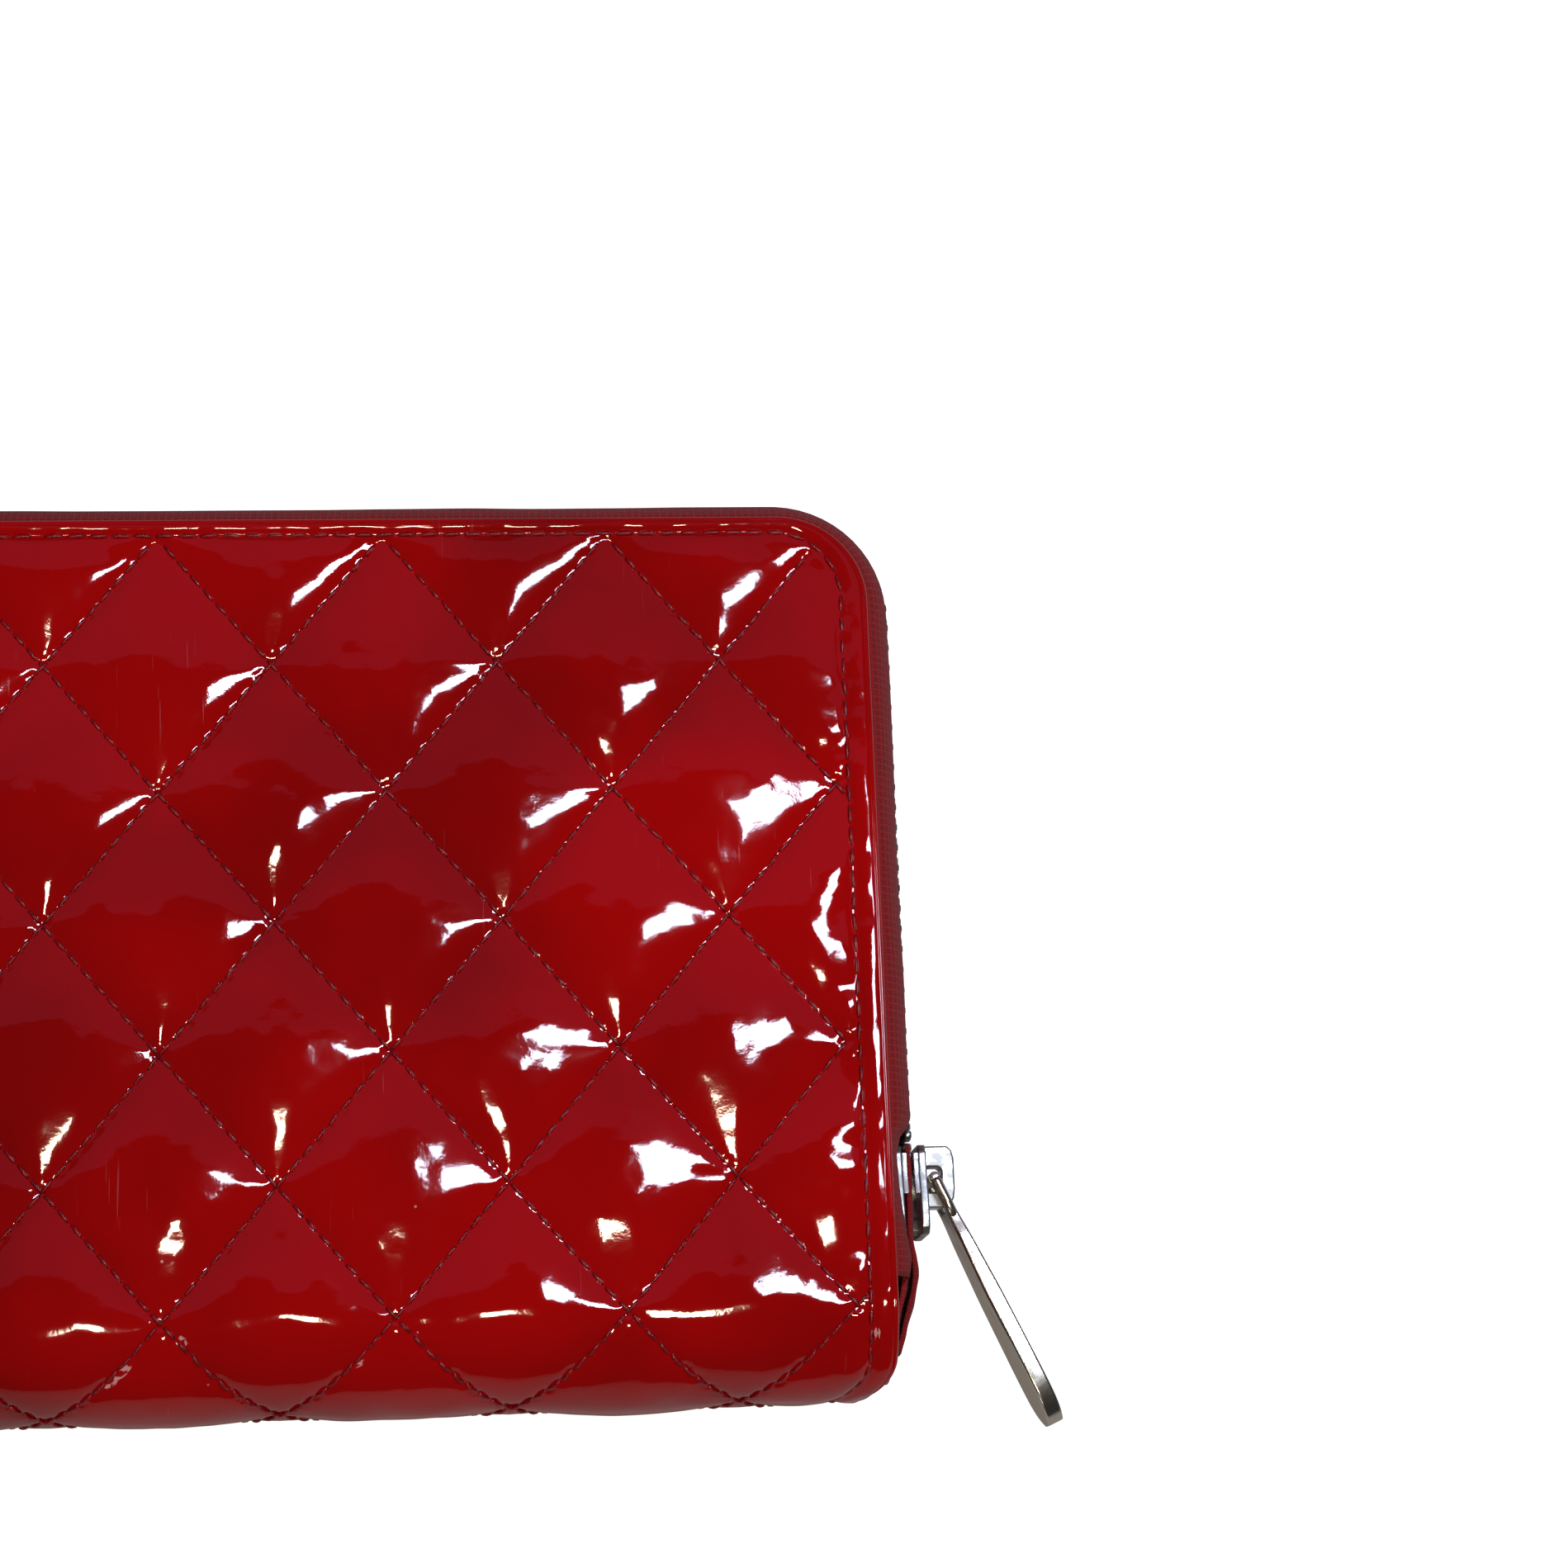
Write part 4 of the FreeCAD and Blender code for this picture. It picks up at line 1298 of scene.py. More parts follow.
    def relief(self, x: np.ndarray, down: np.ndarray, folds: bool = True) -> np.ndarray:
        """Height of the leather above its nominal outer face.

        Args:
            x: distance along the wallet.
            down: unrolled distance.

        Returns:
            The heights.
        """
        seam = self.seam_distance(x, down)
        inside = np.clip(seam, 0, None)
        height = self.pillows(x, down, inside) + self.seam_creases(x, down, inside)
        height -= self.stitch_dents(x, down) * (inside > 0)
        if folds:
            height += self.puckers(x, down) * (inside > 0)
        return np.where(seam >= 0, height, self.border(x, down, seam))


# ------------------------------------------------------------------ quilted leather and stitching

@dataclass
class QuiltedLeather:
    """The outer leather: one quilted sheet round front, spine and back, its turned edge and thread."""

    form: WalletForm
    quilting: Quilting
    grid_step: float = 0.5
    corner_rows: int = 26
    edge_start: float = 1.1
    edge_profile: tuple = ((-0.86, -0.70), (-0.74, -0.82), (-0.60, -0.92), (-0.48, -0.80),
                           (-0.30, -0.86), (-0.12, -1.04), (-0.02, -1.30), (0.0, -1.70),
                           (0.0, -2.40), (-0.10, -2.85), (-0.40, -3.10), (-0.90, -3.15))
    stitch_margin: float = 0.9
    border_stitch: float = 2.6
    thread_radius: float = 0.19
    border_thread_radius: float = 0.209
    stitch_shares: tuple = (-0.47, -0.40, -0.25, 0.0, 0.25, 0.40, 0.47)
    stitch_lifts: tuple = (-0.42, -0.05, 0.12, 0.19, 0.12, -0.05, -0.42)
    stitch_sizes: tuple = (0.6, 0.9, 1.0, 1.05, 1.0, 0.9, 0.6)

    def row_places(self) -> np.ndarray:
        """Unrolled distances of the grid's rows, closer together in the round corners.

        Returns:
            The distances, the same from both ends, with one row at the middle of the spine.
        """
        radius, inset = self.form.corner_radius, self.edge_start
        turn = np.linspace(QUARTER_TURN, 0, self.corner_rows)
        corner = radius - (radius - inset) * np.sin(turn)
        rest = self.form.spine_middle - radius
        plain = np.linspace(radius, self.form.spine_middle, int(rest / self.grid_step) + 1)
        half = np.concatenate([corner, plain[1:]])
        return np.concatenate([half, self.form.length - half[-2::-1]])

    def corner_rise(self, rows: np.ndarray) -> np.ndarray:
        """How far each row lies into the covers' round corners, as a share of their radius."""
        radius, inset = self.form.corner_radius, self.edge_start
        from_end = np.minimum(rows, self.form.length - rows)
        return np.clip(radius - from_end, 0, radius - inset) / (radius - inset)

    def half_widths(self, rows: np.ndarray) -> np.ndarray:
        """Half width of the grid in each row."""
        radius = self.form.corner_radius
        corner = (radius - self.edge_start) * np.sqrt(1 - self.corner_rise(rows) ** 2)
        return self.form.half_width - radius + corner - self.form.spine_narrowing(rows)

    def side_normals(self, rows: np.ndarray) -> tuple[np.ndarray, np.ndarray]:
        """Outward direction of the outline at each row's right end, in unrolled coordinates."""
        rise = self.corner_rise(rows)
        return np.sqrt(1 - rise ** 2), np.where(rows < self.form.spine_middle, -rise, rise)

    def sheet_points(self) -> tuple[np.ndarray, np.ndarray, np.ndarray]:
        """Unrolled places and heights of the whole sheet, edge included.

        Returns:
            x, down and height, each as rows by columns.
        """
        rows = self.row_places()
        columns = int(2 * self.form.half_width / self.grid_step) + 1
        x = self.half_widths(rows)[:, None] * np.linspace(-1, 1, columns)
        down = np.repeat(rows[:, None], columns, axis=1)
        height = self.quilting.relief(x, down)
        normal_x, normal_down = (normal[:, None] for normal in self.side_normals(rows))
        left, right = x[:, :1], x[:, -1:]
        for offset, level in self.edge_profile:
            reach = offset + self.edge_start
            moved = rows[:, None] + reach * normal_down
            x = np.hstack([left - reach * normal_x, x, right + reach * normal_x])
            down = np.hstack([moved, down, moved])
            height = np.pad(height, ((0, 0), (1, 1)), constant_values=level)
        return x, down, height

    def end_strip(self, x: np.ndarray, cover: Cover) -> tuple[np.ndarray, np.ndarray]:
        """Points and faces of the turned edge along a cover's straight top.

        Args:
            x: places along the first or last row of the grid.
            cover: the cover.

        Returns:
            Points and faces.
        """
        front = cover is Cover.FRONT
        start = np.full_like(x, self.edge_start if front else self.form.length - self.edge_start)
        rings = [self.form.place(x, start, self.quilting.relief(x, start))]
        for offset, level in self.edge_profile:
            reach = offset + self.edge_start
            rings.append(self.form.place(x, start - reach if front else start + reach, level))
        faces = grid_faces(len(rings), len(x))
        return np.concatenate(rings), faces if front else faces[:, ::-1]

    def build(self) -> None:
        """Make both halves of the sheet and their stitching."""
        x, down, height = self.sheet_points()
        points = self.form.place(x, down, height)
        points[..., 2] = np.clip(points[..., 2], 0.0, None)
        middle = int(np.argmin(np.abs(down[:, down.shape[1] // 2] - self.form.spine_middle)))
        edge = len(self.edge_profile)
        for cover, part, row in ((Cover.FRONT, points[:middle + 1], x[0]),
                                 (Cover.BACK, points[middle:], x[-1])):
            sheet = part.reshape(-1, 3), grid_faces(*part.shape[:2])[:, ::-1]
            joined, faces = join_parts([sheet, self.end_strip(row[edge:-edge], cover)])
            piece = make_piece(leather_name(cover), joined, faces, Finishes.patent.material())
            with mesh_edit(piece.data) as work:
                bmesh.ops.remove_doubles(work, verts=work.verts, dist=0.002 * MM)
            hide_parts(f"{cover.value}_outer_panel", f"{cover.value}_foam",
                        f"{cover.value}_spine_leather", f"{cover.value}_spine_foam")
            self.form.bend_round_spine(piece, cover)
            self.sew(cover)

    def quilt_stitches(self) -> tuple[np.ndarray, np.ndarray]:
        """Middles and directions of the quilting stitches, unrolled.

        Returns:
            Two arrays of (x, down).
        """
        quilting = self.quilting
        rows = self.form.length / quilting.half_down
        steps = np.arange(0, rows * quilting.run, quilting.stitch) / quilting.run
        reach = int((self.form.half_width / quilting.half_x + rows) / 2) + 2
        places, headings = [], []
        for index in range(-reach, reach + 1):
            for sign in (-1, 1):
                x = quilting.half_x * (2 * index + sign * steps + 1)
                down = quilting.first_row + quilting.half_down * steps
                within = quilting.seam_distance(x, down) > self.stitch_margin
                keep = (np.abs(x) < self.form.half_width) & within
                places.append(np.stack([x, down], axis=-1)[keep])
                heading = np.array([sign * quilting.half_x, quilting.half_down]) / quilting.run
                headings.append(np.broadcast_to(heading, (int(keep.sum()), 2)))
        return np.concatenate(places), np.concatenate(headings)

    def border_stitches(self) -> tuple[np.ndarray, np.ndarray]:
        """Middles and directions of the border stitches, unrolled.

        Returns:
            Two arrays of (x, down).
        """
        quilting, form = self.quilting, self.form
        radius = quilting.seam_corner
        side, end = form.half_width - quilting.side_seam, quilting.top_seam
        down = np.linspace(end + radius, form.spine_middle, 400)
        arc = np.linspace(QUARTER_TURN, 0, 40)[1:]
        top = np.linspace(0, side - radius, 200)
        quarter = np.concatenate([
            np.stack([top, np.full_like(top, end)], axis=-1),
            np.stack([side - radius + radius * np.cos(arc), end + radius - radius * np.sin(arc)], axis=-1),
            np.stack([side - form.spine_narrowing(down), down], axis=-1)[1:]])
        mirrored = quarter[::-1] * (1, -1) + (0, form.length)
        right = np.concatenate([quarter, mirrored[1:]])
        left = right[::-1] * (-1, 1)
        loop = np.concatenate([right, left[1:]])
        along = distance_along(loop)
        spots = np.arange(self.border_stitch / 2, along[-1], self.border_stitch)
        places, ahead = (np.stack([np.interp(spots + shift, along, loop[:, axis]) for axis in (0, 1)],
                                  axis=-1) for shift in (0.0, 0.2))
        heading = ahead - places
        return places, heading / np.linalg.norm(heading, axis=1)[:, None]

    def stitch_mesh(self, places: np.ndarray, headings: np.ndarray, length: float,
                    radius: float) -> tuple[np.ndarray, list]:
        """Meshes of many stitches: short threads that arch up and dive into their holes.

        Args:
            places: middles, unrolled.
            headings: directions, unrolled.
            length: spacing of the stitches.
            radius: radius of the thread.

        Returns:
            Points and faces.
        """
        share, lift, size = (np.array(row) for row in (self.stitch_shares, self.stitch_lifts,
                                                       self.stitch_sizes))
        size = size[:, None] * radius
        turn = np.linspace(0, FULL_TURN, THREAD_SIDES, endpoint=False)
        sway = np.random.default_rng(5).normal(0, 0.05, len(places))
        headings = headings + turned_left(headings) * sway[:, None]
        line = places[:, None, :] + headings[:, None, :] * (share * length)[None, :, None]
        side = turned_left(headings)
        base = self.quilting.relief(places[:, 0], places[:, 1], folds=False)
        spot = line[:, :, None, :] + side[:, None, None, :] * (size * np.cos(turn))[None, :, :, None]
        height = base[:, None, None] + (lift[:, None] + size * np.sin(turn))[None]
        points = self.form.place(spot[..., 0], spot[..., 1], height)
        one = grid_faces(len(share), THREAD_SIDES, wrap=True).tolist()
        return points.reshape(-1, 3), copied_faces(one, len(share) * THREAD_SIDES, len(places))

    def sew(self, cover: Cover) -> None:
        """Sew one cover: quilting lines and border seam.

        Args:
            cover: the cover.
        """
        for label, (places, headings), length, radius in (
                ("quilting_thread", self.quilt_stitches(), self.quilting.stitch, self.thread_radius),
                ("border_thread", self.border_stitches(), self.border_stitch,
                 self.border_thread_radius)):
            on_front = places[:, 1] < self.form.spine_middle
            chosen = on_front if cover is Cover.FRONT else ~on_front
            points, faces = self.stitch_mesh(places[chosen], headings[chosen], length, radius)
            piece = make_piece(f"{label}_{cover.value}", points, faces, Finishes.thread.material())
            self.form.bend_round_spine(piece, cover)


# ------------------------------------------------------------------ the main zip

@dataclass
class MainZip:
    """The zip round three sides: two woven tapes, two rows of metal teeth, its ends and stop.

    Heights are given for the front cover and turned over for the back.
    """

    form: WalletForm
    pitch: float = 2.5
    first_tooth: float = -19.9
    teeth_a_row: int = 141
    tape_line: tuple = ((-4.5, 21.55), (-2.0, 21.5), (-0.4, 21.2), (1.0, 20.5), (2.0, 19.3), (2.7, 17.9),
                        (3.0, 16.6), (3.15, 15.5), (3.2, 14.6))
    tuck: tuple = ((-39.0, 0.58, 17.6), (-36.5, 0.74, 17.3), (-33.0, 0.60, 17.2), (-28.0, 0.42, 17.2),
                   (-24.0, 0.36, 17.2), (-21.5, 0.55, 17.1), (-20.4, 0.90, 15.5), (-19.5, 1.0, 14.2))
    sewn_level: float = 21.8
    tape_step: float = 1.2
    tape_thickness: float = 0.5
    tape_ends: dict = field(default_factory=lambda: {Cover.FRONT: (-38.6, -31.5),
                                                     Cover.BACK: (-33.4, -33.4)})
    tape_seeds: dict = field(default_factory=lambda: {Cover.FRONT: 36, Cover.BACK: 35})
    closed_end: dict = field(default_factory=lambda: {Cover.FRONT: (-23.65, -21.15),
                                                      Cover.BACK: (-24.9, -22.4)})
    tooth_rings: tuple = ((0.00, 0.34, 0.34), (0.18, 0.44, 0.52), (1.35, 0.50, 0.55), (1.60, 0.54, 0.44),
                          (2.15, 0.58, 0.40), (2.40, 0.68, 0.52), (3.05, 0.66, 0.54), (3.40, 0.42, 0.34))
    tooth_root: float = 15.1
    tooth_sides: int = 10
    tooth_squareness: float = 0.55
    end_bands: tuple = (
        (((0.7, -34.0), (0.45, -35.6), (0.3, -37.6), (0.6, -40.0), (1.3, -42.4), (2.1, -44.8),
          (2.7, -46.9)), 6, 8.35, 16.65, 0.55),
        (((1.7, -35.8), (1.6, -38.0), (1.9, -40.0), (2.5, -42.4), (3.1, -44.8), (3.4, -46.6)),
         6, 8.8, 16.9, 0.5))
    slider_band: tuple = (((0.5, -22.4), (0.5, -27.0), (0.5, -31.0), (0.7, -34.3)), 5, 12.6, 15.4, 0.4)

    def build(self) -> None:
        """Make the tapes, the teeth, the ends and the stop."""
        for cover in Cover:
            self.tape(cover)
            self.teeth(cover)
        self.closed_end_teeth()
        self.tape_end(End.RIGHT)
        self.tape_end(End.LEFT)
        self.start_stop()

    def level(self, cover: Cover, height: np.ndarray) -> np.ndarray:
        """Turn heights given for the front cover into those of a cover."""
        return height if cover is Cover.FRONT else self.form.thickness - height

    def tucked(self, base: np.ndarray, offset: np.ndarray,
               tall: np.ndarray) -> tuple[np.ndarray, np.ndarray]:
        """Draw the front tape in where it passes behind the slider, near its right end.

        Args:
            base: points of the cover's outline.
            offset: how far outside them the tape's points lie.
            tall: their heights.

        Returns:
            The new offsets and heights.
        """
        places, shares, floors = np.array(self.tuck).T
        beside = (base[:, 0] > 0) & (base[:, 1] < places[-1])
        share = np.where(beside, np.interp(base[:, 1], places, shares), 1.0)[:, None]
        floor = np.where(beside, np.interp(base[:, 1], places, floors), floors[-1])[:, None]
        squash = (self.sewn_level - floor) / (self.sewn_level - floors[-1])
        return np.where(offset > 0, offset * share, offset), \
            self.sewn_level - (self.sewn_level - tall) * squash

    def tape(self, cover: Cover) -> None:
        """Make one cover's tape: sewn under the cover's edge, turned over towards the teeth.

        Args:
            cover: the cover.
        """
        start, stop = self.tape_ends[cover]
        base, normal, along = self.form.rim(0.0, start, stop, self.tape_step)
        section = thick_line(smooth_line(self.tape_line, 3), self.tape_thickness)
        wave = 0.10 * soft_noise(along[:, None], section[None, :, 1], 9.0, self.tape_seeds[cover])
        offset = section[None, :, 0] + wave * (section[None, :, 0] > 0)
        tall = np.broadcast_to(section[:, 1], offset.shape)
        if cover is Cover.FRONT:
            offset, tall = self.tucked(base, offset, tall)
        points = upright_points(base, normal, offset, self.level(cover, tall))
        reach = distance_along(section)
        name = f"{cover.value}_zip_tape"
        piece = make_shell(f"{name}_woven", points, swept_faces(len(base), len(section)),
                           Finishes.tape.material(), flat_coordinates(along[:, None], reach[None, :]))
        stand_for(piece, name)

    def tooth_mesh(self, cover: Cover, spot: np.ndarray, normal: np.ndarray) -> tuple[np.ndarray, list]:
        """Metal teeth at the given places.

        Args:
            cover: the cover whose tape holds them.
            spot: their places in the XY plane.
            normal: outward directions.

        Returns:
            Points and faces.
        """
        turn = np.linspace(0, FULL_TURN, self.tooth_sides, endpoint=False) + math.pi / self.tooth_sides
        down, wide, deep = np.array(self.tooth_rings).T[..., None]
        out, ahead = (size * np.sign(wave) * np.abs(wave) ** self.tooth_squareness
                      for size, wave in ((wide, np.cos(turn)), (deep, np.sin(turn))))
        height = self.level(cover, np.broadcast_to(self.tooth_root - down, out.shape))
        plan = spot[:, None, None, :] + normal[:, None, None, :] * out[None, ..., None] \
            + turned_left(normal)[:, None, None, :] * ahead[None, ..., None]
        tall = np.broadcast_to(height[None, ..., None], (*plan.shape[:3], 1))
        points = np.concatenate([plan, tall], axis=-1).reshape(-1, 3)
        one = swept_faces(len(self.tooth_rings), self.tooth_sides)
        return points, copied_faces(one, out.size, len(spot))

    def teeth(self, cover: Cover) -> None:
        """Make one cover's row of teeth.

        Args:
            cover: the cover.
        """
        start = self.first_tooth + (self.pitch / 2 if cover is Cover.FRONT else 0)
        along = np.arange(self.teeth_a_row) * self.pitch
        points, faces = self.tooth_mesh(cover, *self.form.rim_at(self.form.chain_offset, along, start))
        node = f"{cover.value}_zip_teeth"
        stand_for(make_shell(f"{node}_metal", points, faces, Finishes.teeth.material()), node)

    def closed_end_teeth(self) -> None:
        """Make the few teeth that stay meshed inside the slider."""
        chain = self.form.half_width + self.form.chain_offset
        parts = []
        for cover in Cover:
            spots = np.array([(chain, y) for y in self.closed_end[cover]])
            parts.append(self.tooth_mesh(cover, spots, np.array([(1.0, 0.0)] * len(spots))))
        node = "zip_closed_end_teeth"
        stand_for(make_shell(f"{node}_metal", *join_parts(parts), Finishes.teeth.material()), node)

    def tape_end(self, end: End) -> None:
        """Make the folded end of the zip, bands that bulge out and tuck in behind the spine.

        Args:
            end: the wallet's end that it is at.
        """
        name = f"{end.name.lower()}_zip_end"
        low, high = box_mm(name)
        outer = max(abs(low.x), abs(high.x))
        bands = self.end_bands + ((self.slider_band,) if end is End.RIGHT else ())
        parts = []
        for path, steps, bottom, top, thickness in bands:
            line = smooth_line([(outer - inwards, y) for inwards, y in path], steps)
            parts.append(self.band(end, line, bottom, top, thickness))
        points, faces = join_parts([part[:2] for part in parts])
        uv = np.concatenate([part[2] for part in parts])
        stand_for(make_shell(f"{name}_woven", points, faces, Finishes.tape.material(), uv), name)

    @staticmethod
    def band(end: End, path: np.ndarray, low: float, high: float, thickness: float,
             ) -> tuple[np.ndarray, list, np.ndarray]:
        """A band of tape standing on edge along a path.

        Args:
            end: the wallet's end that it is at.
            path: points of its middle line, with x counted outwards.
            low: height of its lower edge.
            high: height of its upper edge.
            thickness: its thickness.

        Returns:
            Points, faces and flat coordinates.
        """
        section = bulged_wall(low, high, thickness, 13, 0.45, -0.3)
        along = distance_along(path)
        wrinkle = 0.10 * soft_noise(along[:, None], section[None, :, 1], 1.9, 77)
        points = upright_points(path, turned_left(unit_headings(path)), section[None, :, 0] + wrinkle,
                                section[:, 1])
        points[:, 0] *= end.value
        return points, swept_faces(len(path), len(section)), \
            flat_coordinates(along[:, None], section[None, :, 1])

    @staticmethod
    def start_stop() -> None:
        """Make the metal stop at the zip's start: a crimped staple."""
        node = "zip_start_stop"
        piece = make_piece(f"{node}_metal", *block(*box_mm(node)), Finishes.teeth.material())
        stand_for(soften_edges(piece, 0.35, 3), node)


# ------------------------------------------------------------------ sliders and pullers

class Runner(Enum):
    """The two zips' sliders, by the start of their nodes' names."""

    MAIN = ""
    COIN = "coin_"


def both_sides(edge: Sequence[tuple[float, float]]) -> list:
    """One side of an outline, then its mirror image on the way back."""
    return [*edge, *((along, -width) for along, width in edge[::-1])]


def cast_metal(parts: Sequence[bpy.types.Object], node: str) -> None:
    """Join parts into one metal piece that stands for a node."""
    stand_for(join_objects(parts, f"{node}_metal"), node)


@dataclass
class ZipSlider:
    """A slider: two shield-shaped plates with lips, the wedge between them and the crown on top.

    Its own axes run towards the narrow end, outwards and across.
    """

    runner: Runner
    plate: float
    gap: float
    lip: float
    lip_width: float
    window: tuple
    narrow: float = 0.76
    overlap: float = 0.05
    wedge: tuple = ((-0.94, 0.07), (-0.84, 0.13), (-0.66, 0.08), (-0.56, 0.02))
    arch: tuple = ((0.0, 0.0), (0.0, 0.62), (0.05, 0.84), (0.16, 0.96), (0.30, 1.0), (0.80, 1.0),
                   (0.93, 0.93), (1.0, 0.78), (1.0, 0.0))

    @property
    def axes(self) -> list[int]:
        """The frame's axes in the order of the slider's own; it turns points either way."""
        return [1, 0, 2] if self.runner is Runner.MAIN else [0, 1, 2]

    def build(self) -> None:
        """Make the body and the crown."""
        self.body()
        self.crown()

    def body(self) -> None:
        """Make the body: both plates, the lips that turn in from them, and the wedge."""
        node = f"{self.runner.value}slider_body"
        low, high = (np.array(corner)[self.axes] for corner in box_mm(node))
        middle, half = (low + high) / 2, (high - low) / 2
        bottom = low[1] + self.plate
        top = bottom + self.gap
        shield = ((-1.0, 0.80), (-0.86, 0.97), (-0.55, 1.0), (-0.1, 0.93), (0.35, self.narrow + 0.03),
                  (0.82, self.narrow), (1.0, self.narrow - 0.16))
        side, wedge = ([(along * half[0], width * half[2]) for along, width in shape]
                       for shape in (shield, self.wedge))
        solids = [(both_sides(side), low[1], bottom, 0.22), (both_sides(side), top, top + self.plate, 0.22)]
        for sign in (-1, 1):
            edge = [(along, sign * width) for along, width in side[3:6]]
            inner = [(along, width - sign * self.lip_width) for along, width in edge]
            solids.append((edge + inner[::-1], bottom - self.overlap, bottom + self.lip, 0.12))
            solids.append((edge + inner[::-1], top - self.lip, top + self.overlap, 0.12))
        solids.append((both_sides(wedge), bottom - self.overlap, top + self.overlap, 0.08))
        cast_metal([self.solid(*shape, middle) for shape in solids], node)

    def solid(self, outline: list, start: float, stop: float, rounding: float,
              middle: np.ndarray) -> bpy.types.Object:
        """Make one solid of the body, with rounded edges.

        Args:
            outline: its corners, seen from outside.
            start: where it starts, outwards.
            stop: where it stops.
            rounding: width of the rounding of its edges.
            middle: the body's middle.

        Returns:
            The solid.
        """
        points, faces = prism(outline, start, stop)
        local = np.stack([points[:, 1] + middle[0], points[:, 0], points[:, 2] + middle[2]], axis=-1)
        return soften_edges(make_piece("solid", local[:, self.axes], faces, Finishes.plating.material()),
                            rounding)

    def crown(self) -> None:
        """Make the crown: an arch with rounded shoulders and a window for the puller."""
        node = f"{self.runner.value}slider_crown"
        low, high = (np.array(corner)[self.axes] for corner in box_mm(node))
        length, rise, _ = high - low
        outer = [(low[0] + along * length, low[1] + up * rise) for along, up in self.arch]
        start, stop, top = self.window
        window = ((start, low[1] - 0.01), (start, top - 0.45), (start + 0.15, top - 0.12),
                  (start + 0.45, top), (stop - 0.45, top), (stop - 0.12, top - 0.12), (stop, top - 0.45),
                  (stop, low[1] - 0.01))
        points, faces = prism([*outer, *window[::-1]], low[2], high[2])
        local = points[:, (1, 2, 0)]
        piece = make_piece("arch", local[:, self.axes], faces, Finishes.plating.material())
        cast_metal([soften_edges(piece, 0.28, 3)], node)


@dataclass
class Puller:
    """A flat tapered pull: eye, neck and blade."""

    runner: Runner
    eye: float
    blade_start: float
    length: float
    half_blade: float
    half_neck: float
    thickness: float
    arm: float
    pin: float

    def placing(self) -> Matrix:
        """Where the pull lies at rest.

        Returns:
            The turn from (across, along, sideways) and the shift to the pivot.
        """
        node = f"{self.runner.value}puller"
        joint = next(item for item in frame["joints"] if item["child"] == node)
        pivot = Vector(joint["pos_m"]) / MM
        low, high = box_mm(node)
        heading = Vector((1, 0, 0))
        if self.runner is Runner.MAIN:
            heading = (Vector((high.x - 0.6, low.y + 0.4, pivot.z)) - pivot).normalized()
        across = Vector((0, 0, 1))
        turn = Matrix((across.cross(heading), heading, across)).transposed().to_4x4()
        return Matrix.Translation(pivot * MM) @ turn

    def blade(self) -> bpy.types.Object:
        """The blade, which thins towards the neck.

        Returns:
            The blade, not yet in its place.
        """
        start, length, neck, wide = self.blade_start, self.length, self.half_neck, self.half_blade
        side = smooth_line(((start - 1.7, neck * 0.84), (start - 0.3, neck * 0.86),
                            (start + 2.5, neck * 0.98), (length * 0.45, wide * 0.84),
                            (length * 0.65, wide * 0.94),
                            (length * 0.80, wide), (length * 0.90, wide * 0.95),
                            (length * 0.96, wide * 0.72), (length, wide * 0.3)), 4)
        points, faces = prism(both_sides(side), -self.thickness / 2, self.thickness / 2)
        points[:, 0] *= 0.62 + 0.38 * np.clip((points[:, 1] - start + 2) / (length * 0.35), 0, 1)
        return soften_edges(make_piece("blade", points, faces, Finishes.pull.material()), 0.34, 3)

    def rods(self) -> list[bpy.types.Object]:
        """The eye's two arms and the bar that turns in the crown.

        Returns:
            The three rods, not yet in their place.
        """
        reach = self.half_neck - self.arm / 2
        loop = ((0.0, -reach), (self.eye * 0.35, -reach), (self.eye * 0.8, -reach * 0.98),
                (self.blade_start - 0.4, -reach * 0.72))
        made = []
        for sign in (-1, 1):
            line = smooth_line([(along, sign * width) for along, width in loop], 4)
            made.append(rod(np.column_stack([np.zeros(len(line)), line]), self.arm / 2))
        made.append(rod([(0.0, 0.0, width) for width in np.linspace(-reach, reach, 9)], self.pin))
        return [make_piece("rod", *shape, Finishes.pull.material()) for shape in made]

    def build(self) -> None:
        """Make the pull as one cast piece."""
        parts = [self.blade(), *self.rods()]
        place = self.placing()
        for part in parts:
            part.data.transform(place)
        cast_metal(parts, f"{self.runner.value}puller")


# ------------------------------------------------------------------ the inside

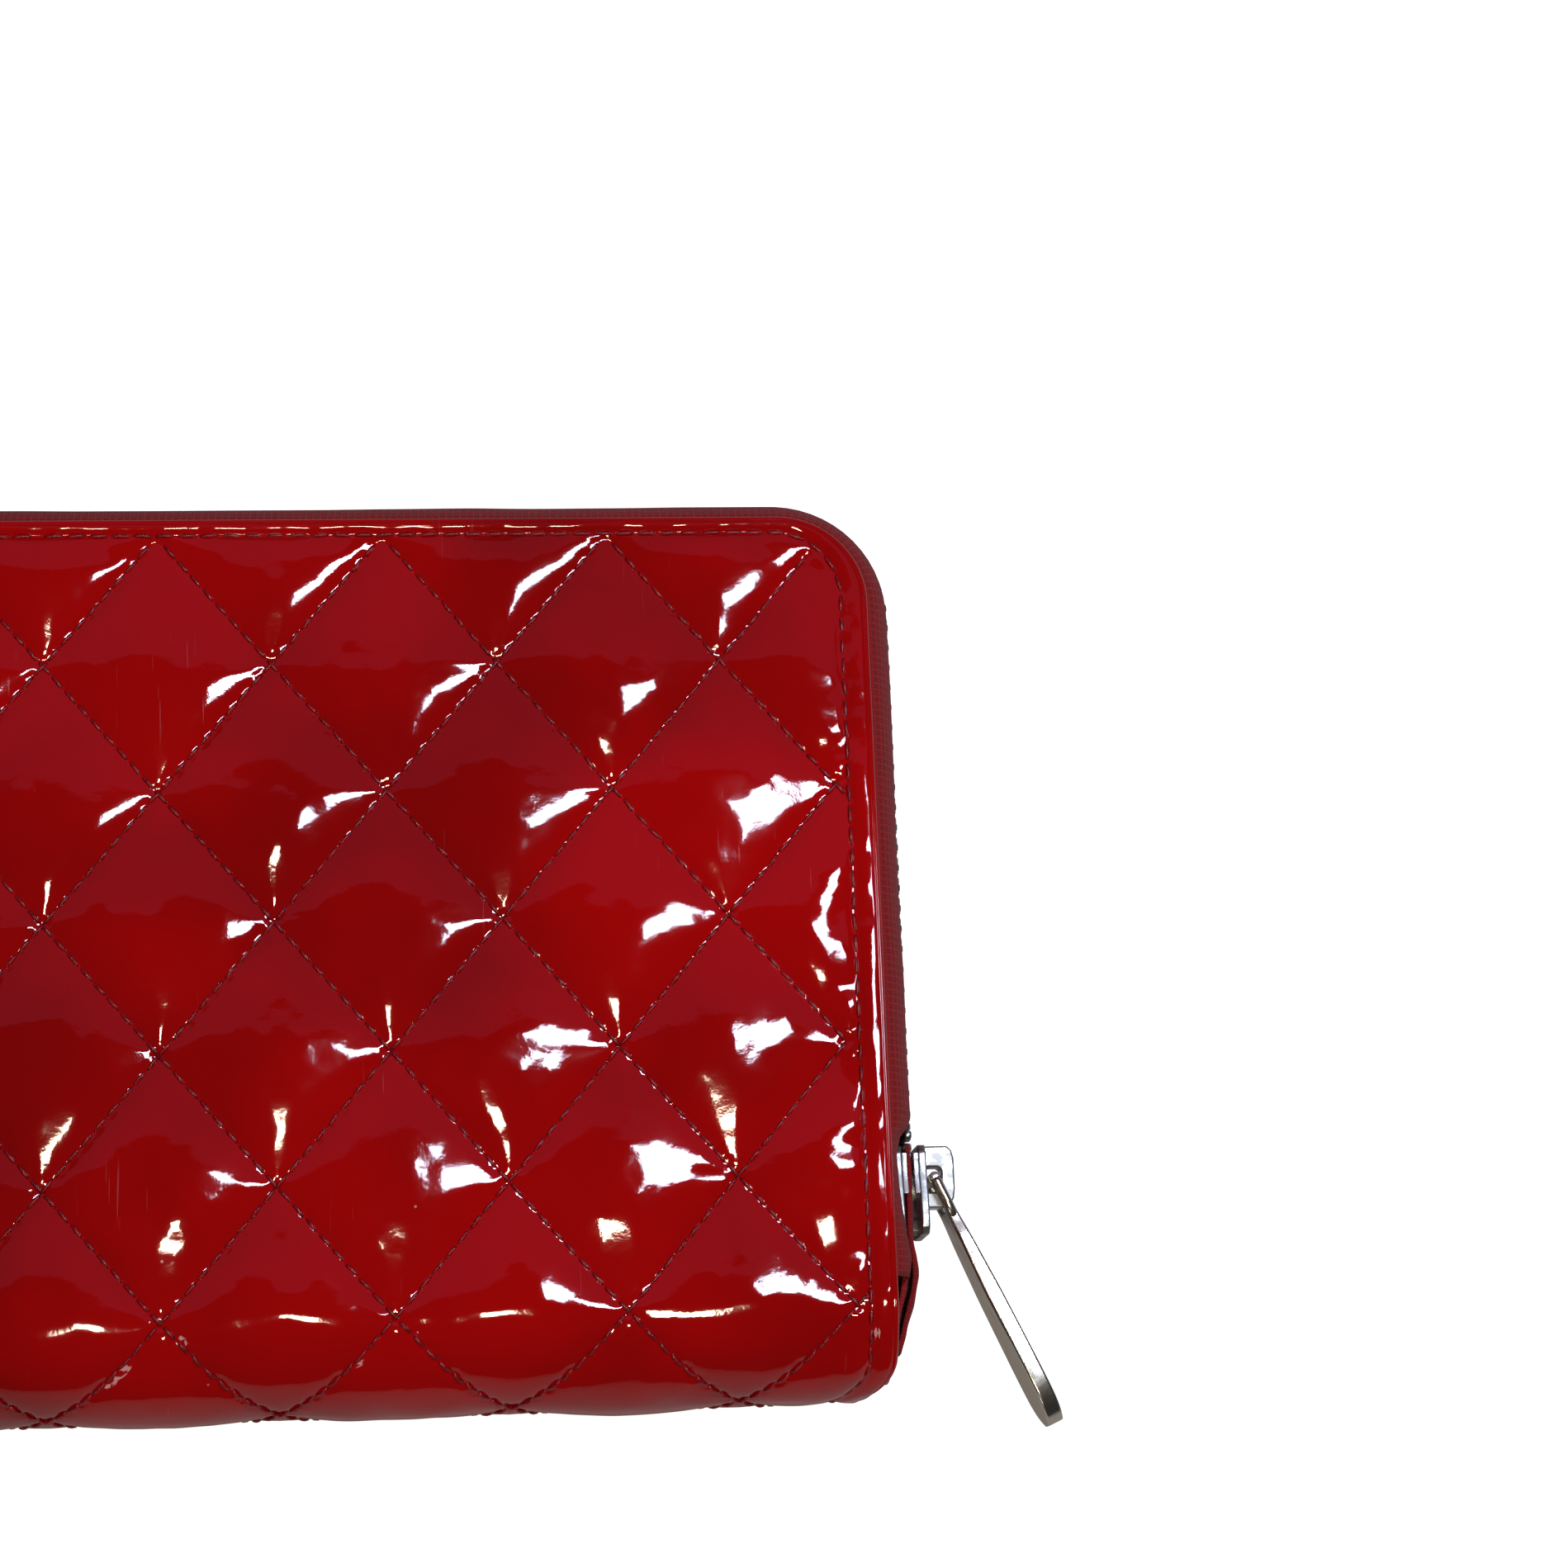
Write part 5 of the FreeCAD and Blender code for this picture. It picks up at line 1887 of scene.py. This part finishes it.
@dataclass(frozen=True)
class LeatherPanel:
    """A flat leather or cloth panel with rounded edges, a creased top edge and sewn sides."""

    node: str
    finish: Finish
    faces_up: bool
    corner: float = 1.5
    stitched: bool = True
    middle_seam: bool = False
    step: float = 2.0
    seed: int = 3
    side_seam: float = 1.5
    top_seam: float = 1.3
    edge_lines: tuple = (0.0, 0.08, 0.2, 0.4, 0.8, 1.1, 1.3, 1.5, 1.8)
    edge_zone: float = 2.6

    def spread(self, low: float, high: float) -> np.ndarray:
        """Places of grid lines, closer together at both edges."""
        edge = np.array(self.edge_lines)
        count = max(2, int((high - low) / self.step))
        inner = np.linspace(low + self.edge_zone, high - self.edge_zone, count)
        return np.concatenate([low + edge, inner, (high - edge)[::-1]])

    def surface(self, x: np.ndarray, y: np.ndarray, low: Vector, high: Vector, room: float) -> np.ndarray:
        """How far the visible face lies below the panel's nominal face.

        Args:
            x: places along X.
            y: places along Y.
            low: the node's lowest corner.
            high: the node's highest corner.
            room: thickness that the edges may round off.

        Returns:
            Depths.
        """
        from_side = np.minimum(x - low.x, high.x - x)
        from_edge = np.minimum(from_side, np.minimum(y - low.y, high.y - y))
        drop = 0.8 * bell(from_edge, 0.35) + 0.10 * (1 + soft_noise(x, y, 19.0, self.seed))
        if self.stitched:
            drop += 0.30 * bell(high.y - y - self.top_seam, 0.22)
            drop += 0.22 * bell(from_side - self.side_seam, 0.3)
        return np.minimum(drop, 0.9) * room

    def build(self) -> None:
        """Make the panel and its stitches."""
        low, high = box_mm(self.node)
        x, y = np.meshgrid(self.spread(low.x, high.x), self.spread(low.y, high.y))
        rise = np.clip(y - (high.y - self.corner), 0, None)
        narrow = self.corner - np.sqrt(np.clip(self.corner ** 2 - rise ** 2, 0, None))
        middle, half = (low.x + high.x) / 2, (high.x - low.x) / 2
        squeezed = middle + (x - middle) * (half - narrow) / half
        drop = self.surface(x, y, low, high, high.z - low.z)
        seen = high.z - drop if self.faces_up else low.z + drop
        hidden = np.full_like(x, low.z if self.faces_up else high.z)
        points = np.stack([np.stack([squeezed, y, level], axis=-1) for level in (seen, hidden)])
        rows, columns = x.shape
        count = rows * columns
        loop = [*range(columns), *range(2 * columns - 1, count, columns),
                *range(count - 2, count - columns - 1, -1), *range(count - 2 * columns, 0, -columns)]
        faces = [*grid_faces(rows, columns), *grid_faces(rows, columns, count)[:, ::-1],
                 *([first, following, following + count, first + count]
                   for first, following in zip(loop, loop[1:] + loop[:1]))]
        kind = "cloth" if isinstance(self.finish, WovenCloth) else "leather"
        uv = np.tile(flat_coordinates(x, y), (2, 1))
        stand_for(make_shell(f"{self.node}_{kind}", points.reshape(-1, 3), faces, self.finish.material(), uv),
                  self.node)
        if self.stitched:
            self.sew(low, high)

    def sew(self, low: Vector, high: Vector) -> None:
        """Add the stitches along the sides, the top and, where there is one, the middle seam.

        Args:
            low: the node's lowest corner.
            high: the node's highest corner.
        """
        level, up = (high.z, 1) if self.faces_up else (low.z, -1)
        left, right = low.x + self.side_seam, high.x - self.side_seam
        top = high.y - self.top_seam
        runs = [((side, low.y + 2), (side, high.y - 3)) for side in (left, right)]
        runs.append(((low.x + 3, top), (high.x - 3, top)))
        if self.middle_seam:
            runs += [((shift, low.y + 2), (shift, high.y - 0.8)) for shift in (-1.2, 1.2)]
        parts = [straight_stitches(start, stop, level, up) for start, stop in runs]
        piece = make_piece(f"{self.node}_thread", *join_parts(parts), Finishes.thread.material())
        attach(piece, body_of_node(self.node))


@dataclass
class Interior:
    """Linings, slip pockets and card slots of both covers, spine linings and gussets."""

    form: WalletForm
    cards: int = 4
    spine_layers: tuple = (2.6, 3.2)
    gusset_leaf: float = 0.45
    pocket_leaf: float = 5.2
    top_slant: float = 0.14

    def build(self) -> None:
        """Make the inside of both covers."""
        for cover in Cover:
            up = cover is Cover.BACK
            LeatherPanel(f"{cover.value}_lining", Finishes.lining, up, corner=4.7, stitched=False).build()
            LeatherPanel(f"{cover.value}_slip_pocket", Finishes.pocket, up, seed=5).build()
            for card in range(1, self.cards + 1):
                LeatherPanel(f"{cover.value}_card_panel_{card}", Finishes.pocket, up, middle_seam=True,
                             seed=6 + card).build()
            self.spine_lining(cover)
            for end in End:
                self.gusset(cover, end)

    def spine_lining(self, cover: Cover) -> None:
        """Make half of the spine's lining, a quarter of a round wall.

        Args:
            cover: the cover that it joins.
        """
        form = self.form
        angle = np.linspace(0, QUARTER_TURN, 25)
        xs = np.linspace(-form.half_width + 0.3, form.half_width - 0.3, 80)
        x, turn = np.meshgrid(xs, np.concatenate([angle, angle[::-1]]), indexing="ij")
        radius = np.repeat([form.spine_radius - layer for layer in self.spine_layers], len(angle)) \
            + 0.05 * soft_noise(x, turn * 11, 4.0, 41) * np.sin(turn) ** 2
        sign = 1 if cover is Cover.FRONT else -1
        points = np.stack([x, form.hinge - radius * np.sin(turn),
                           form.spine_radius + sign * radius * np.cos(turn)], axis=-1).reshape(-1, 3)
        node = f"{cover.value}_spine_lining"
        piece = make_shell(f"{node}_leather", points, swept_faces(*x.shape), Finishes.lining.material())
        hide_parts(node)
        form.bend_round_spine(piece, cover)

    def gusset(self, cover: Cover, end: End) -> None:
        """Make one folded gusset between a cover and the coin pocket.

        Args:
            cover: the cover.
            end: the wallet's end.
        """
        node = f"{end.name.lower()}_{cover.value}_gusset"
        low, high = box_mm(node)
        inner, outer = sorted((abs(low.x), abs(high.x)))
        middle = (low.z + high.z) / 2
        half = (high.z - low.z - self.gusset_leaf) / 2
        fold = ((outer, -half), (inner + 6, -half * 0.82), (inner + 1.6, -half * 0.52),
                (inner + 0.5, -half * 0.26), (inner + 0.3, 0.0), (inner + 0.5, half * 0.26),
                (inner + 1.4, half * 0.58), (inner + 3.2, half * 0.95),
                (inner + self.pocket_leaf, half + 0.4))
        line = smooth_line(fold, 4)
        if cover is Cover.FRONT:
            line = (line * (1, -1))[::-1]
        section = thick_line(line, self.gusset_leaf)
        y, x = np.meshgrid(np.linspace(low.y, high.y, 60), section[:, 0], indexing="ij")
        side = section[None, :, 1] * (1 if cover is Cover.BACK else -1)
        y = y - (y - low.y) * self.top_slant * np.clip(side / half / 2 + 0.5, 0, 1)
        sway = 0.12 * soft_noise(x, y, 8.0, 51 + end.value) * (outer - x) / (outer - inner)
        points = np.stack([x * end.value, y, middle + section[None, :, 1] + sway], axis=-1).reshape(-1, 3)
        piece = make_shell(f"{node}_folded", points, swept_faces(*x.shape), Finishes.lining.material(),
                           flat_coordinates(y, x))
        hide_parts(node)
        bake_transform(piece)


@dataclass
class CoinPocket:
    """The zipped pocket between the two note compartments."""

    wall: float = 0.9
    pitch: float = 1.8
    teeth_a_row: int = 78
    first_tooth: float = -68.0
    tooth_length: float = 0.75
    tooth_sides: int = 8
    tooth_rings: tuple = ((0.0, 0.7, 0.8), (0.12, 1.0, 1.0), (0.45, 1.0, 1.0), (0.58, 0.75, 0.75),
                          (0.72, 0.95, 1.0), (0.92, 0.9, 0.95), (1.0, 0.6, 0.65))
    stop_length: float = 1.4

    def build(self) -> None:
        """Make its walls, linings, edge strip, tapes, teeth and stops."""
        LeatherPanel("coin_back_wall", Finishes.lining, False, seed=21).build()
        LeatherPanel("coin_front_wall", Finishes.lining, True, seed=22).build()
        self.strip()
        for cover in Cover:
            LeatherPanel(f"coin_{cover.value}_lining", Finishes.cloth, cover is Cover.BACK, stitched=False,
                         seed=25).build()
            self.tape(cover)
            self.teeth(cover)
        self.stops()

    def strip(self) -> None:
        """Make the strip that closes the pocket's sides and floor, slightly bulged."""
        node = "coin_pocket_strip"
        low, high = box_mm(node)
        left, right, floor = low.x + self.wall / 2, high.x - self.wall / 2, low.y + self.wall / 2
        line = np.array(((left, high.y), (left, low.y + 3), (low.x + 1.3, low.y + 1.2), (low.x + 3, floor),
                         (high.x - 3, floor), (high.x - 1.3, low.y + 1.2), (right, low.y + 3),
                         (right, high.y)))
        section = bulged_wall(low.z + 0.2, high.z - 0.2, 0.5, 9, -0.25)
        points = upright_points(line, turned_left(unit_headings(line)), section[:, 0], section[:, 1])
        stand_for(make_shell(f"{node}_leather", points, swept_faces(len(line), len(section)),
                             Finishes.lining.material()), node)

    @staticmethod
    def tape(cover: Cover) -> None:
        """Make one of the coin zip's two tapes.

        Args:
            cover: the side that it is on.
        """
        node = f"coin_{cover.value}_tape"
        low, high = box_mm(node)
        levels = np.linspace(low.z, high.z, 7)
        line = np.stack([levels, np.full_like(levels, (low.y + high.y) / 2)], axis=-1)
        section = thick_line(line, high.y - low.y - 0.1)
        x, level = np.meshgrid(np.linspace(low.x, high.x, 110), section[:, 0], indexing="ij")
        y = section[None, :, 1] + 0.04 * soft_noise(x, level, 3.0, 61)
        points = np.stack([x, y, level], axis=-1).reshape(-1, 3)
        stand_for(make_shell(f"{node}_woven", points, swept_faces(*x.shape), Finishes.tape.material(),
                             flat_coordinates(x, level)), node)

    def teeth(self, cover: Cover) -> None:
        """Make one row of the coin zip's teeth.

        Args:
            cover: the side that it is on.
        """
        node = f"coin_{cover.value}_teeth"
        low, high = box_mm(node)
        base, ahead, shift = (low.z, 1, 0.0) if cover is Cover.BACK else (high.z, -1, self.pitch / 2)
        share, wide, tall = np.array(self.tooth_rings).T[..., None]
        turn = np.linspace(0, FULL_TURN, self.tooth_sides, endpoint=False) + math.pi / self.tooth_sides
        across = 2 * math.cos(math.pi / self.tooth_sides)
        one = np.stack(np.broadcast_arrays(
            self.tooth_length * wide * np.cos(turn) / across,
            (low.y + high.y) / 2 + (high.y - low.y) * tall * np.sin(turn) / across,
            base + ahead * (high.z - low.z) * share), axis=-1).reshape(-1, 3)
        places = self.first_tooth + shift + np.arange(self.teeth_a_row) * self.pitch
        points = (one + places[:, None, None] * (1, 0, 0)).reshape(-1, 3)
        faces = copied_faces(swept_faces(len(self.tooth_rings), self.tooth_sides), len(one), len(places))
        stand_for(make_shell(f"{node}_metal", points, faces, Finishes.teeth.material()), node)

    def stops(self) -> None:
        """Make the two crimped stops of the coin zip."""
        node = "coin_zip_stops"
        low, high = box_mm(node)
        parts = []
        for start in (low.x, high.x - self.stop_length):
            shape = block(Vector((start, low.y, low.z)), Vector((start + self.stop_length, high.y, high.z)))
            parts.append(soften_edges(make_piece("stop", *shape, Finishes.teeth.material()), 0.3))
        cast_metal(parts, node)


class Boards:
    """The stiffeners, which keep their CAD shapes and get their finish."""

    @staticmethod
    def build() -> None:
        """Give both stiffeners their finish."""
        for cover in Cover:
            for slot in frame["nodes"][f"{cover.value}_stiffener"].material_slots:
                slot.material = Finishes.board.material()


# ------------------------------------------------------------------ studio

@dataclass
class Studio:
    """Pale floor, soft lights and the camera."""

    floor_reach: float = 3000.0
    floor_level: float = -0.02
    lights: tuple = (("haze", (80, 560, 640), (1500, 760), 0.58, (0.95, 0.42, 0.80)),
                     ("window", (178, 50, 335), (46, 96), 0.45, (0.72, 0.82, 1.0)),
                     ("lamp", (50, -178, 900), (130, 100), 1.75, (1.0, 0.86, 0.64)),
                     ("fill", (-500, -800, 700), (300, 300), 1.0, (1.0, 0.95, 0.9)))
    aim: tuple = (40.0, 0.0, 0.0)
    air_colour: tuple = (1.0, 0.98, 0.98, 1.0)
    air_strength: float = 0.035
    lens: float = 94.8
    sensor: float = 36.0
    eye: tuple = (30.5, -91.5, 498.0)
    heading: tuple = (0.115, 0.227, -0.967)
    upward: tuple = (0.013, 0.973, 0.23)

    def build(self) -> None:
        """Make the floor, the lights and the camera."""
        self.floor()
        for light in self.lights:
            self.hang(*light)
        self.air()
        bpy.context.scene.view_settings.view_transform = "Standard"
        self.camera()

    def floor(self) -> None:
        """Lay the floor just under the wallet."""
        corners = np.array([(-1, -1), (1, -1), (1, 1), (-1, 1)]) * self.floor_reach
        points = np.column_stack([corners, np.full(len(corners), self.floor_level)])
        make_piece("studio_floor", points, [(0, 1, 2, 3)], Finishes.paper.material(), smooth=False)

    def hang(self, name: str, place: tuple, size: tuple, power: float, colour: tuple) -> None:
        """Hang an area light that faces the wallet.

        Args:
            name: the light's name.
            place: its middle, in millimetres.
            size: its width and height, in millimetres.
            power: watts.
            colour: red, green and blue.
        """
        data = bpy.data.lights.new(name, "AREA")
        data.shape, data.energy, data.color = "RECTANGLE", power, colour
        data.size, data.size_y = size[0] * MM, size[1] * MM
        lamp = show(name, data)
        lamp.location = Vector(place) * MM
        towards = Vector(self.aim) * MM - lamp.location
        lamp.rotation_euler = towards.to_track_quat("-Z", "Y").to_euler()
        lamp.visible_camera = False

    def air(self) -> None:
        """Fill the studio with a faint even light."""
        world = bpy.data.worlds.new("studio_air")
        bpy.context.scene.world = world
        world.use_nodes = True
        glow = world.node_tree.nodes["Background"].inputs
        glow["Color"].default_value = self.air_colour
        glow["Strength"].default_value = self.air_strength

    def camera(self) -> None:
        """Set up the camera, high above the spine side."""
        data = bpy.data.cameras.new("camera")
        data.lens, data.sensor_width, data.clip_start = self.lens, self.sensor, 0.01
        camera = show("camera", data)
        back = -Vector(self.heading).normalized()
        right = Vector(self.upward).cross(back).normalized()
        turn = Matrix((right, back.cross(right), back)).transposed().to_4x4()
        camera.matrix_world = Matrix.Translation(Vector(self.eye) * MM) @ turn
        bpy.context.scene.camera = camera


def main() -> None:
    """Build the wallet piece by piece and keep its size."""
    logging.basicConfig(level=logging.INFO, format="%(name)s: %(message)s")
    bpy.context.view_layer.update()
    form = WalletForm.from_frame()
    for part in (
            QuiltedLeather(form, Quilting(form)),
            MainZip(form),
            ZipSlider(Runner.MAIN, plate=1.0, gap=1.9, lip=0.60, lip_width=0.56,
                      window=(-27.9, -24.9, 105.05)),
            Puller(Runner.MAIN, eye=5.0, blade_start=5.8, length=32.0, half_blade=3.8, half_neck=3.2,
                   thickness=2.0, arm=1.3, pin=0.8),
            Interior(form),
            CoinPocket(),
            ZipSlider(Runner.COIN, plate=0.8, gap=1.7, lip=0.5, lip_width=0.27,
                      window=(-68.0, -65.6, 36.55)),
            Puller(Runner.COIN, eye=3.7, blade_start=4.4, length=17.0, half_blade=2.5, half_neck=1.9,
                   thickness=1.4, arm=0.85, pin=0.6),
            Boards(),
            Studio()):
        part.build()
        log.info("built %s", type(part).__name__)


if __name__ == "__main__":
    main()
